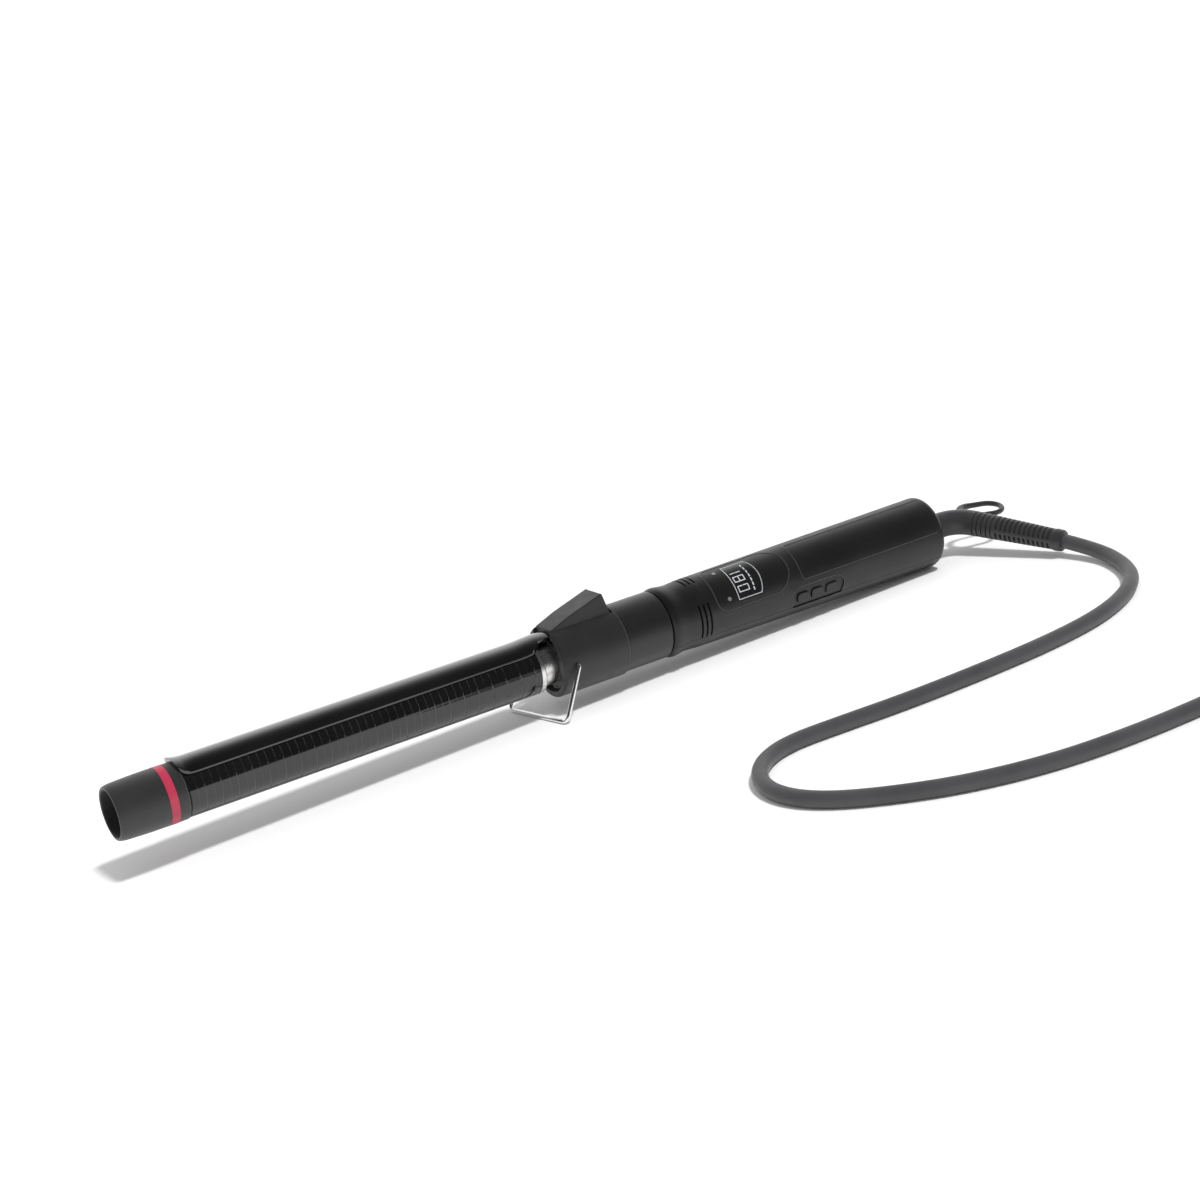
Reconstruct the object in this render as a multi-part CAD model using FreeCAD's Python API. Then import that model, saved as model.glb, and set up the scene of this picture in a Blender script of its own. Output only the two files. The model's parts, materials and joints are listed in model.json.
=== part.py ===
import FreeCAD, Part
import math
import os
from FreeCAD import Vector

# A corded curling iron with a sprung clip, resting on its wire stand and the end of its handle.
# Millimetres. The tool frame has X along the iron from just behind the tip's rim to the handle's end,
# +Z up through the thumb lever and -Y towards the side with the buttons.
# seated() turns the tool frame into the resting position, with the floor at Z = 0.

# Stations along the tool's axis
TIP_FRONT_X = -1.6
TIP_FLOOR_X = 14.0
BAND_X = 18.6
COLLAR_X = 22.0
BARREL_X = 26.8
CLIP_X = 25.4
FERRULE_X = 181.5
SLEEVE_X = 190.0
NECK_X = 221.7
HANDLE_X = 244.0
GRIP_X = 263.0
HANDLE_END_X = 388.0

# Radii
BARREL_R = 11.2
BARREL_WALL = 1.2
TIP_R = 11.6
RIM_R = 0.65
MOUTH_R = 9.5
FERRULE_R = 9.2
BUSH_R = 7.6
SLEEVE_R = 15.3
SLEEVE_BORE_R = 12.8
NECK_R = 14.6
NECK_GAP = 0.9
HANDLE_FRONT_R = 15.0
HANDLE_REAR_R = 16.05
HANDLE_BORE_R = 13.2
HANDLE_EDGE_R = 3.0
SWIVEL_R = 5.7
SWIVEL_CLEARANCE = 0.05

# Barrel grooves
GROOVE_PITCH = 6.6
GROOVE_WIDTH = 0.7
GROOVE_DEPTH = 0.14

# Clip and lever
CLIP_GAP = 0.45
CLIP_THICKNESS = 1.1
CLIP_HALF_WIDTH = 8.8
CLIP_ARM_HALF_WIDTH = 5.4
CLIP_SHOULDER_X = 181.0
CLIP_ARM_END_X = 197.0
LEVER_HALF_WIDTH = 6.4
LEVER_SLOT_HALF_WIDTH = 6.8
LEVER_SLOT_END_X = 220.7
PIVOT_X = 201.0
PIVOT_Z = 10.6
PIN_R = 1.25
PIN_CLEARANCE = 0.05
PIN_HALF_LENGTH = 8.3
LEVER_HUB_R = 2.4

# Wire stand
WIRE_R = 0.9
STAND_PIVOT_X = 196.0
STAND_FOOT_X = 185.2
STAND_FOOT_Z = -21.15
STAND_NEAR_Y = -18.0
STAND_FAR_X = 178.5
STAND_FAR_Y = 20.5
STAND_HALF_WIDTH = 16.7
STAND_BEND_R = 3.0

# Handle fittings, in a handle frame that is turned about the axis from the lever's frame
HANDLE_TURN = 44.0
SEAM_Z = 2.2
SEAM_GAP = 0.2
PANEL_HALF_WIDTH = 10.7
PANEL_X0 = 266.8
PANEL_X1 = 305.4
COVER_X0 = 310.2
COVER_HALF_WIDTH = 9.3
INLAY_DEPTH = 1.0
INLAY_GAP = 0.18
WINDOW_X0 = 277.2
WINDOW_X1 = 289.2
WINDOW_HALF_WIDTH = 8.5
WINDOW_BULGE = 2.0
LIGHT_X = 273.0
LIGHT_ANGLE = 27.0
LIGHT_R = 0.9
BUTTON_TURN = 65.3
BUTTON_X = (309.4, 316.9, 324.6)
BUTTON_LENGTH = 5.6
BUTTON_WIDTH = 4.6
BUTTON_CLEARANCE = 0.2
PAD_X0 = 304.0
PAD_X1 = 331.4
PAD_HALF_WIDTH = 5.0
PAD_INNER_R = 13.6

# Strain relief and hanging loop, seated
NECK_TURN_X = 406.5
NECK_TRIM = 9.0
RELIEF_END = (424.6, -50.5, 7.0)
LOOP_CENTRE = (419.5, 0.5, 16.6)
LOOP_YAW = -18.0
LOOP_RUN = 8.0
LOOP_R = 6.6
LOOP_WIRE_R = 1.2

# Cord: its route on the floor, and the coil that holds the rest of it
CORD_D = 6.4
CORD_HEIGHT = 3.25
COIL_CENTRE = (382.0, -280.0)
COIL_OUTER_R = 53.2
COIL_INNER_R = 23.0
COIL_BOTTOM = 0.4
COIL_TOP = 13.3
PLUG_X = 322.0
PLUG_Y = -330.0
PLUG_Z = 7.2
PLUG_PIN_SPACING = 18.6
PLUG_PIN_R = 2.0
PLUG_PIN_LENGTH = 19.0

X_AXIS = Vector(1, 0, 0)
Y_AXIS = Vector(0, 1, 0)
Z_AXIS = Vector(0, 0, 1)
ORIGIN = Vector(0, 0, 0)


# ---------------------------------------------------------------- shape helpers

def turned(points):
    """A solid turned about X from a closed outline of (x, radius) points."""
    corners = [Vector(x, 0, r) for x, r in points]
    outline = Part.makePolygon(corners + [corners[0]])
    return Part.Face(outline).revolve(ORIGIN, X_AXIS, 360)


def rod(x0, x1, radius):
    return Part.makeCylinder(radius, x1 - x0, Vector(x0, 0, 0), X_AXIS)


def tube(x0, x1, outer, inner):
    return rod(x0, x1, outer).cut(rod(x0, x1, inner))


def block(x0, x1, y0, y1, z0, z1):
    return Part.makeBox(x1 - x0, y1 - y0, z1 - z0, Vector(x0, y0, z0))


def cross_rod(x, z, radius, y0, y1):
    return Part.makeCylinder(radius, y1 - y0, Vector(x, y0, z), Y_AXIS)


def upright(x, y, z0, z1, radius):
    return Part.makeCylinder(radius, z1 - z0, Vector(x, y, z0), Z_AXIS)


def rolled(shape, degrees):
    """Turned about the tool's axis; a positive angle takes the top towards -Y."""
    copy = shape.copy()
    copy.rotate(ORIGIN, X_AXIS, degrees)
    return copy


def in_handle(shape):
    return rolled(shape, HANDLE_TURN)


def ring_sector(x0, x1, r0, r1, a0, a1):
    """Part of a ring between two angles from the top, positive towards -Y."""
    corners = [Vector(x0, 0, r0), Vector(x1, 0, r0), Vector(x1, 0, r1), Vector(x0, 0, r1)]
    face = Part.Face(Part.makePolygon(corners + [corners[0]]))
    return rolled(face.revolve(ORIGIN, X_AXIS, a1 - a0), a0)


def rounded_plan(x0, x1, half, front_r, rear_r, z0, z1):
    """An upright prism on a rectangle in X and Y with its corners rounded."""
    def corner(cx, cy, radius, middle):
        spots = [middle - 45, middle, middle + 45]
        places = [(cx + radius * math.cos(math.radians(a)), cy + radius * math.sin(math.radians(a)))
                  for a in spots]
        return Part.Arc(*[Vector(x, y, z0) for x, y in places]).toShape()

    arcs = [
        corner(x1 - rear_r, half - rear_r, rear_r, 45),
        corner(x0 + front_r, half - front_r, front_r, 135),
        corner(x0 + front_r, front_r - half, front_r, 225),
        corner(x1 - rear_r, rear_r - half, rear_r, 315),
    ]
    edges = []
    for arc, following in zip(arcs, arcs[1:] + arcs[:1]):
        edges.append(arc)
        start = arc.Vertexes[-1].Point
        end = following.Vertexes[0].Point
        if start.distanceToPoint(end) > 1e-6:
            edges.append(Part.LineSegment(start, end).toShape())
    return Part.Face(Part.Wire(edges)).extrude(Vector(0, 0, z1 - z0))


def joined(shapes):
    whole = shapes[0]
    for shape in shapes[1:]:
        whole = whole.fuse(shape)
    return whole.removeSplitter()


def group(shapes):
    return Part.makeCompound(shapes)


def wire_path(points, radius_share=0.45):
    """Straight runs joined by tangent arcs, each as large as its two runs allow."""
    edges = []
    radii = []
    start = points[0]
    for before, corner, after in zip(points, points[1:], points[2:]):
        back = (before - corner).normalize()
        ahead = (after - corner).normalize()
        turn = math.pi - back.getAngle(ahead)
        shorter = min((before - corner).Length, (after - corner).Length)
        trim = radius_share * shorter
        radius = trim / math.tan(turn / 2)
        radii.append(radius)
        first = corner + back * trim
        last = corner + ahead * trim
        middle_way = (back + ahead).normalize()
        depth = radius / math.cos(turn / 2) - radius
        middle = corner + middle_way * depth
        edges.append(Part.LineSegment(start, first).toShape())
        edges.append(Part.Arc(first, middle, last).toShape())
        start = last
    edges.append(Part.LineSegment(start, points[-1]).toShape())
    return Part.Wire(edges), radii


def swept(points, radius, radius_share=0.45):
    path, radii = wire_path(points, radius_share)
    way = points[1] - points[0]
    section = Part.Wire(Part.makeCircle(radius, points[0], way))
    solid = path.makePipeShell([section], True, False)
    return solid, path, radii


# ---------------------------------------------------------------- resting position

def resting_tilt():
    """The angle that puts the stand's foot and the handle's lower rear edge on the floor."""
    reach = HANDLE_END_X - HANDLE_EDGE_R - STAND_FOOT_X
    rise = STAND_FOOT_Z + HANDLE_REAR_R - HANDLE_EDGE_R
    drop = WIRE_R - HANDLE_EDGE_R
    return math.asin(drop / math.hypot(reach, rise)) - math.atan2(rise, reach)


TILT = resting_tilt()
LIFT = ((HANDLE_END_X - HANDLE_EDGE_R) * math.sin(TILT)
        + (HANDLE_REAR_R - HANDLE_EDGE_R) * math.cos(TILT) + HANDLE_EDGE_R)


def seated(shape):
    copy = shape.copy()
    copy.rotate(ORIGIN, Y_AXIS, math.degrees(TILT))
    copy.translate(Vector(0, 0, LIFT))
    return copy


def seated_point(x, y, z):
    return Vector(x * math.cos(TILT) + z * math.sin(TILT), y, z * math.cos(TILT) - x * math.sin(TILT) + LIFT)


# ---------------------------------------------------------------- barrel and tip

def barrel_tube():
    outline = [(BARREL_X, BARREL_R - BARREL_WALL), (BARREL_X, BARREL_R - 0.3), (BARREL_X + 0.3, BARREL_R)]
    x = BARREL_X + GROOVE_PITCH
    while x < FERRULE_X - 2:
        outline.append((x - GROOVE_WIDTH / 2, BARREL_R))
        outline.append((x, BARREL_R - GROOVE_DEPTH))
        outline.append((x + GROOVE_WIDTH / 2, BARREL_R))
        x += GROOVE_PITCH
    outline.append((FERRULE_X, BARREL_R))
    outline.append((FERRULE_X, BARREL_R - BARREL_WALL))
    return turned(outline)


def cool_tip():
    """A nearly straight cup with a rounded rim and an open mouth, with a spigot that carries the collar."""
    slope = math.radians(18)
    rim_x = TIP_FRONT_X + RIM_R
    rim_centre = Vector(rim_x, 0, MOUTH_R + RIM_R)
    rim_end = rim_centre + Vector(-math.sin(slope), 0, math.cos(slope)) * RIM_R
    rim_arc = Part.Arc(Vector(rim_x, 0, MOUTH_R), rim_centre - X_AXIS * RIM_R, rim_end).toShape()
    side = Part.BSplineCurve()
    side.interpolate([rim_end, Vector(4.0, 0, 11.35), Vector(10.0, 0, 11.55), Vector(BAND_X, 0, TIP_R)],
                     InitialTangent=Vector(math.cos(slope), 0, math.sin(slope)), FinalTangent=Vector(1, 0, 0.005))
    corners = [
        Vector(BAND_X, 0, TIP_R),
        Vector(BAND_X, 0, 9.6),
        Vector(COLLAR_X + 1.0, 0, 9.6),
        Vector(COLLAR_X + 1.0, 0, 4.0),
        Vector(TIP_FLOOR_X, 0, 4.0),
        Vector(TIP_FLOOR_X, 0, MOUTH_R),
        Vector(rim_x, 0, MOUTH_R),
    ]
    lines = [Part.LineSegment(a, b).toShape() for a, b in zip(corners, corners[1:])]
    outline = Part.Wire([rim_arc, side.toShape()] + lines)
    return Part.Face(outline).revolve(ORIGIN, X_AXIS, 360)


def tip_band():
    return tube(BAND_X, COLLAR_X, TIP_R + 0.05, 9.6)


def tip_collar():
    body = turned([
        (COLLAR_X, 9.6), (COLLAR_X, TIP_R), (BARREL_X - 0.6, TIP_R - 0.1), (BARREL_X - 0.3, TIP_R - 0.5),
        (BARREL_X - 0.3, 9.75), (BARREL_X + 9, 9.75), (BARREL_X + 9, 8.2), (COLLAR_X + 1.05, 8.2),
        (COLLAR_X + 1.05, 9.6),
    ])
    return body


def barrel_ferrule():
    """Bright steel ring at the barrel's rear edge, necked down where it enters the sleeve."""
    return turned([
        (FERRULE_X, 8.0), (FERRULE_X, BARREL_R + 0.05), (FERRULE_X + 1.8, BARREL_R + 0.05),
        (FERRULE_X + 2.3, BARREL_R - 0.5), (FERRULE_X + 2.5, FERRULE_R), (SLEEVE_X + 4.0, FERRULE_R),
        (SLEEVE_X + 4.0, BUSH_R), (FERRULE_X + 0.6, BUSH_R),
    ])


def insulator_bush():
    """Phenolic tube that carries the hot barrel in the cool sleeve."""
    front = tube(FERRULE_X - 14, FERRULE_X, BARREL_R - BARREL_WALL - 0.05, 5.0)
    shank = tube(FERRULE_X, HANDLE_X + 6, BUSH_R, 5.0)
    return joined([front, shank])


def heater_clamp(side):
    """Aluminium half-round that presses the heating plates against the barrel's wall."""
    body = rod(52, 158, BARREL_R - BARREL_WALL - 0.05)
    body = body.cut(block(50, 160, -11, 11, -1.6, 1.6))
    half = block(50, 160, -11, 11, 0, 11) if side > 0 else block(50, 160, -11, 11, -11, 0)
    groove = block(50, 160, -1.6, 1.6, 5.5, 11) if side > 0 else block(50, 160, -1.6, 1.6, -11, -5.5)
    return body.common(half).cut(groove)


def heater_element():
    """Flat ceramic heating plates in a row, sandwiched between the clamps."""
    plates = [block(56 + 25 * i, 78 + 25 * i, -6.5, 6.5, -1.5, 1.5) for i in range(4)]
    return group(plates)


def temperature_sensor():
    sensor = turned([(159.0, 0), (159.0, 0.9), (159.6, 1.3), (161.6, 1.3), (162.6, 0.5), (176.0, 0.5), (176.0, 0)])
    sensor.translate(Vector(0, 0, 3.0))
    return sensor


def heater_leads():
    """Two heating leads and two sensor leads that run back through the bush into the handle."""
    leads = []
    for y, z in ((4.0, 1.0), (-4.0, 1.0), (3.8, -1.4), (-3.8, -1.4)):
        lead = Part.makeCylinder(0.7, 76.0, Vector(178, y, z), X_AXIS)
        leads.append(lead)
    return group(leads)


# ---------------------------------------------------------------- sleeve, neck and hinge

def lever_slot():
    return block(SLEEVE_X - 1, LEVER_SLOT_END_X, -LEVER_SLOT_HALF_WIDTH, LEVER_SLOT_HALF_WIDTH, 8.2, 20)


def front_sleeve():
    """Housing of the lever's hinge and the stand's pivots, with a recessed front face."""
    edge = 0.9
    outside = turned([
        (SLEEVE_X, SLEEVE_BORE_R), (SLEEVE_X, SLEEVE_R - edge), (SLEEVE_X + 0.27, SLEEVE_R - 0.27),
        (SLEEVE_X + edge, SLEEVE_R), (NECK_X - 0.6, SLEEVE_R), (NECK_X, SLEEVE_R - 0.5), (NECK_X, SLEEVE_BORE_R),
    ])
    body = outside.cut(lever_slot())
    body = body.cut(cross_rod(PIVOT_X, PIVOT_Z, PIN_R, -PIN_HALF_LENGTH - 0.1, PIN_HALF_LENGTH + 0.1))
    return body.cut(cross_rod(STAND_PIVOT_X, 0, WIRE_R + PIN_CLEARANCE, -16, 16))


def sleeve_face_ring():
    """Inner ring of the sleeve's front face; it centres the ferrule and leaves a dark groove around itself."""
    ring = turned([
        (SLEEVE_X + 1.4, FERRULE_R), (SLEEVE_X + 1.4, 11.6), (SLEEVE_X + 1.8, 12.0), (SLEEVE_X + 3.6, 12.0),
        (SLEEVE_X + 3.6, SLEEVE_BORE_R), (SLEEVE_X + 4.0, SLEEVE_BORE_R), (SLEEVE_X + 4.0, FERRULE_R),
    ])
    ring = ring.cut(lever_slot())
    slit = block(SLEEVE_X, SLEEVE_X + 2.6, 10.3, 11.4, -2.2, 2.2)
    for turn in (15, 62, 118, 165):
        ring = ring.cut(rolled(slit, turn - 90))
    hole = Part.makeCylinder(0.6, 5, Vector(SLEEVE_X, -2.6, -10.3), X_AXIS)
    return ring.cut(hole)


def neck_sleeve():
    """Smooth neck between sleeve and handle, with a web that grips the bush and a spigot for the handle."""
    rear = HANDLE_X - NECK_GAP
    skin = turned([
        (NECK_X, 12.6), (NECK_X, NECK_R - 0.3), (NECK_X + 0.3, NECK_R), (rear - 0.3, NECK_R),
        (rear, NECK_R - 0.3), (rear, 12.9), (HANDLE_X + 9.5, 12.9), (HANDLE_X + 9.5, 11.4),
        (NECK_X + 6, 11.4), (NECK_X + 6, BUSH_R), (NECK_X + 3, BUSH_R), (NECK_X + 3, 12.6),
    ])
    tongue = tube(NECK_X - 5.0, NECK_X + 3.5, SLEEVE_BORE_R, 11.2)
    lever_room = block(NECK_X - 6, NECK_X, -7.2, 7.2, 0, 20)
    return joined([skin, tongue.cut(lever_room)])


def hinge_pin():
    return cross_rod(PIVOT_X, PIVOT_Z, PIN_R, -PIN_HALF_LENGTH, PIN_HALF_LENGTH)


def clip_spoon():
    """Sprung steel spoon that lies along the barrel's top, with a lifted lip and an arm under the lever."""
    inner = BARREL_R + CLIP_GAP
    outer = inner + CLIP_THICKNESS
    shell = turned([(CLIP_X, inner + 0.9), (CLIP_X + 4.5, inner), (CLIP_ARM_END_X, inner),
                    (CLIP_ARM_END_X, outer), (CLIP_X + 4.5, outer), (CLIP_X, outer + 0.8)])
    blade = rounded_plan(CLIP_X, CLIP_SHOULDER_X + 4, CLIP_HALF_WIDTH, 3.4, 5.5, 0, 20)
    arm = block(CLIP_SHOULDER_X, CLIP_ARM_END_X, -CLIP_ARM_HALF_WIDTH, CLIP_ARM_HALF_WIDTH, 0, 20)
    return shell.common(blade.fuse(arm))


def rivet_places():
    return [(193.6, -2.7), (193.6, 2.7)]


def clip_rivets():
    rivets = []
    for x, y in rivet_places():
        shank = upright(x, y, 10.6, 13.9, 0.9)
        head = upright(x, y, 10.25, 10.95, 1.5)
        rivets.append(shank.fuse(head).removeSplitter())
    return group(rivets)


def thumb_lever():
    """Wedge that the thumb presses; its ears turn on the hinge pin."""
    outline = [(191.3, 11.2), (191.3, 14.4), (200.2, 17.8), (217.2, 22.8), (219.7, 13.3), (219.2, 12.6),
               (204.5, 12.6), (198.4, 11.2)]
    corners = [Vector(x, -LEVER_HALF_WIDTH, z) for x, z in outline]
    wedge = Part.Face(Part.makePolygon(corners + [corners[0]])).extrude(Vector(0, 2 * LEVER_HALF_WIDTH, 0))
    upper_edges = [e for e in wedge.Edges if e.BoundBox.ZMin > 14]
    wedge = wedge.makeFillet(0.45, upper_edges)
    ears = []
    for y0, y1 in ((-LEVER_HALF_WIDTH, -3.3), (3.3, LEVER_HALF_WIDTH)):
        hub = cross_rod(PIVOT_X, PIVOT_Z, LEVER_HUB_R, y0, y1)
        web = block(PIVOT_X - LEVER_HUB_R, PIVOT_X + LEVER_HUB_R, y0, y1, PIVOT_Z, 13.2)
        ears.append(hub.fuse(web))
    body = joined([wedge] + ears)
    body = body.cut(cross_rod(PIVOT_X, PIVOT_Z, PIN_R + PIN_CLEARANCE, -8, 8))
    body = body.cut(cross_rod(PIVOT_X, PIVOT_Z, 2.9, -3.3, 3.3))
    body = body.cut(clip_spoon())
    for rivet in clip_rivets().Solids:
        body = body.cut(rivet)
    return body


def torsion_spring():
    """Coil round the pin with both ends to the rear, one on the bush and one under the lever."""
    turns = 4
    pitch = 1.15
    wire = 0.35
    mean = 2.1
    helix = Part.makeHelix(pitch, turns * pitch, mean)
    section = Part.Wire(Part.makeCircle(wire, Vector(mean, 0, 0), Y_AXIS))
    coil = Part.Wire(helix.Edges).makePipeShell([section], True, True)
    coil.rotate(ORIGIN, X_AXIS, -90)
    coil.translate(Vector(PIVOT_X, -turns * pitch / 2, PIVOT_Z))
    upper_leg = Part.makeCylinder(wire, 9.0, Vector(PIVOT_X + 1.5, turns * pitch / 2 - 0.3, PIVOT_Z + 1.5), X_AXIS)
    lower_leg = Part.makeCylinder(wire, 9.0, Vector(PIVOT_X + 1.5, 0.3 - turns * pitch / 2, PIVOT_Z - 1.5), X_AXIS)
    return coil.fuse(upper_leg).fuse(lower_leg)


def clipped_clip():
    body = clip_spoon()
    for rivet in clip_rivets().Solids:
        body = body.cut(rivet)
    return body


# ---------------------------------------------------------------- stand

def wire_stand():
    """Bent wire, a little skewed, that turns in two holes of the sleeve and props up the barrel."""
    side = STAND_HALF_WIDTH
    inside = side - 2.9
    far_foot_z = STAND_FOOT_Z - (STAND_FOOT_X - STAND_FAR_X) * math.tan(TILT)
    points = [
        Vector(STAND_PIVOT_X, -inside, 0),
        Vector(STAND_PIVOT_X, -side, 0),
        Vector(STAND_FOOT_X, STAND_NEAR_Y, STAND_FOOT_Z),
        Vector(STAND_FAR_X, STAND_FAR_Y, far_foot_z),
        Vector(STAND_PIVOT_X, side, 0),
        Vector(STAND_PIVOT_X, inside, 0),
    ]
    edges = []
    start = points[0]
    bends = (1.0, STAND_BEND_R, STAND_BEND_R, 1.0)
    for before, corner, after, radius in zip(points, points[1:], points[2:], bends):
        back = (before - corner).normalize()
        ahead = (after - corner).normalize()
        turn = math.pi - back.getAngle(ahead)
        trim = radius * math.tan(turn / 2)
        middle = corner + (back + ahead).normalize() * (radius / math.cos(turn / 2) - radius)
        edges.append(Part.LineSegment(start, corner + back * trim).toShape())
        edges.append(Part.Arc(corner + back * trim, middle, corner + ahead * trim).toShape())
        start = corner + ahead * trim
    edges.append(Part.LineSegment(start, points[-1]).toShape())
    section = Part.Wire(Part.makeCircle(WIRE_R, points[0], Y_AXIS))
    return Part.Wire(edges).makePipeShell([section], True, False)


# ---------------------------------------------------------------- handle

def grip_radius(x):
    """The grip widens slightly towards its rear end."""
    share = (x - GRIP_X) / (HANDLE_END_X - HANDLE_EDGE_R - GRIP_X)
    return HANDLE_FRONT_R + (HANDLE_REAR_R - HANDLE_FRONT_R) * share


def grip_cone(offset):
    """The grip's form along the whole handle, grown or shrunk by an offset."""
    x0 = HANDLE_X
    x1 = HANDLE_END_X + 1
    return Part.makeCone(grip_radius(x0) + offset, grip_radius(x1) + offset, x1 - x0, Vector(x0, 0, 0), X_AXIS)


def handle_outside():
    """Solid of the handle's outer form: a rounded lip, a shallow neck, a widening grip and a rounded end."""
    lip = Part.BSplineCurve()
    lip.interpolate([Vector(HANDLE_X, 0, 14.2), Vector(HANDLE_X + 0.9, 0, 14.95), Vector(HANDLE_X + 3.0, 0, 15.2),
                     Vector(HANDLE_X + 5.4, 0, 14.85), Vector(HANDLE_X + 8.0, 0, 14.55),
                     Vector(HANDLE_X + 11.5, 0, 14.7), Vector(HANDLE_X + 15.0, 0, 14.93),
                     Vector(GRIP_X, 0, HANDLE_FRONT_R)])
    grip = Part.LineSegment(Vector(GRIP_X, 0, HANDLE_FRONT_R), Vector(HANDLE_END_X - HANDLE_EDGE_R, 0, HANDLE_REAR_R))
    middle = HANDLE_EDGE_R * math.sin(math.radians(45))
    edge = Part.Arc(Vector(HANDLE_END_X - HANDLE_EDGE_R, 0, HANDLE_REAR_R),
                    Vector(HANDLE_END_X - HANDLE_EDGE_R + middle, 0, HANDLE_REAR_R - HANDLE_EDGE_R + middle),
                    Vector(HANDLE_END_X, 0, HANDLE_REAR_R - HANDLE_EDGE_R))
    end = Part.LineSegment(Vector(HANDLE_END_X, 0, HANDLE_REAR_R - HANDLE_EDGE_R), Vector(HANDLE_END_X, 0, 0))
    axis = Part.LineSegment(Vector(HANDLE_END_X, 0, 0), Vector(HANDLE_X, 0, 0))
    front = Part.LineSegment(Vector(HANDLE_X, 0, 0), Vector(HANDLE_X, 0, 14.2))
    outline = Part.Wire([c.toShape() for c in (lip, grip, edge, end, axis, front)])
    return Part.Face(outline).revolve(ORIGIN, X_AXIS, 360)


def handle_cavity():
    return joined([
        rod(HANDLE_X - 1, HANDLE_X + 10, 12.95),
        rod(HANDLE_X + 10, HANDLE_END_X - 2.5, HANDLE_BORE_R),
        rod(HANDLE_END_X - 3, HANDLE_END_X + 1, SWIVEL_R + 0.6),
    ])


def inlay_pocket_core():
    """What is left of the handle's form below the depth of its inlaid panels."""
    return grip_cone(-INLAY_DEPTH)


def panel_plan(gap):
    return rounded_plan(PANEL_X0 - gap, PANEL_X1 + gap, PANEL_HALF_WIDTH + gap, 4.5 + gap, 9.4 + gap, 0, 30)


def cover_plan(gap):
    return rounded_plan(COVER_X0 - gap, HANDLE_END_X + 12, COVER_HALF_WIDTH + gap, 1.8 + gap, 1.8, 5, 30)


def pad_plan(gap):
    """Plan of the button pad, with a straight lower side and a rounded upper side, at the top of the handle."""
    plan = rounded_plan(PAD_X0 - gap, PAD_X1 + gap, PAD_HALF_WIDTH + gap, 4.6, 4.6, 0, 30)
    lower = block(PAD_X0 - gap + 0.6, PAD_X1 + gap - 0.6, -PAD_HALF_WIDTH - gap, 0, 0, 30)
    return rolled(plan.fuse(lower).removeSplitter(), BUTTON_TURN)


def window_plan(gap):
    half = WINDOW_HALF_WIDTH + gap
    x0 = WINDOW_X0 - gap
    x1 = WINDOW_X1 + gap
    corners = [Vector(x1, half, 0), Vector(x0, half, 0), Vector(x0, -half, 0), Vector(x1, -half, 0)]
    edges = [Part.LineSegment(a, b).toShape() for a, b in zip(corners, corners[1:])]
    edges.append(Part.Arc(corners[3], Vector(x1 + WINDOW_BULGE, 0, 0), corners[0]).toShape())
    return Part.Face(Part.Wire(edges)).extrude(Vector(0, 0, 30))


def light_hole(side, radius):
    hole = upright(LIGHT_X, 0, 8, 30, radius)
    return rolled(hole, side * LIGHT_ANGLE)


def button_body(x, grow):
    """One key, built at the top of the handle: a rounded cap on a wider inner flange."""
    half = BUTTON_WIDTH / 2 + grow
    length = BUTTON_LENGTH / 2 + grow
    cap = rounded_plan(x - length, x + length, half, 1.4 + grow, 1.4 + grow, 13.1, 15.75)
    return cap


def screw_places():
    return [258.5, 354.0]


def boss(x, z0, z1, radius):
    return upright(x, 0, z0, z1, radius)


def upper_shell_blank():
    body = handle_outside().cut(handle_cavity())
    rib = tube(377, 379, HANDLE_BORE_R + 0.2, 9.0)
    body = body.fuse(rib)
    for x in screw_places():
        body = body.fuse(boss(x, -3.0, 13.9, 2.8))
    return body.removeSplitter()


def handle_upper_shell():
    body = upper_shell_blank()
    above = block(HANDLE_X - 2, HANDLE_END_X + 2, -20, 20, SEAM_Z + SEAM_GAP / 2, 20)
    columns = [boss(x, -3.0, 13.9, 2.8) for x in screw_places()]
    body = body.common(above.fuse(columns))
    outer_skin = handle_outside().cut(inlay_pocket_core())
    body = body.cut(panel_plan(INLAY_GAP).common(outer_skin))
    body = body.cut(cover_plan(INLAY_GAP).common(outer_skin))
    for first, last in ((21, 79), (-70, -21)):
        for i in range(3):
            x = 257.3 + 2.3 * i
            body = body.cut(ring_sector(x, x + 0.9, 12.0, 17.0, first, last))
    body = body.cut(window_plan(0.25))
    for side in (-1, 1):
        body = body.cut(light_hole(side, LIGHT_R))
    body = body.cut(pad_plan(0.15))
    for x in screw_places():
        body = body.cut(upright(x, 0, -8, 2.0, 1.0))
    return in_handle(body)


def handle_lower_shell():
    body = handle_outside().cut(handle_cavity())
    rib = tube(377, 379, HANDLE_BORE_R + 0.2, 9.0)
    body = body.fuse(rib)
    below = block(HANDLE_X - 2, HANDLE_END_X + 2, -20, 20, -20, SEAM_Z - SEAM_GAP / 2)
    body = body.common(below)
    for x in screw_places():
        body = body.fuse(boss(x, -13.9, -3.0, 2.8))
        body = body.cut(upright(x, 0, -20, -12.4, 2.6))
        body = body.cut(upright(x, 0, -13, -2.5, 1.25))
    body = body.cut(pad_plan(0.15))
    return in_handle(body.removeSplitter())


def shell_screws():
    """Two screws from below that close the handle."""
    screws = []
    for x in screw_places():
        head = upright(x, 0, -14.0, -12.4, 2.4)
        shank = upright(x, 0, -12.4, 1.5, 1.0)
        cross = block(x - 1.5, x + 1.5, -0.3, 0.3, -14.1, -13.2).fuse(block(x - 0.3, x + 0.3, -1.5, 1.5, -14.1, -13.2))
        screws.append(head.fuse(shank).removeSplitter().cut(cross))
    return in_handle(group(screws))


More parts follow.
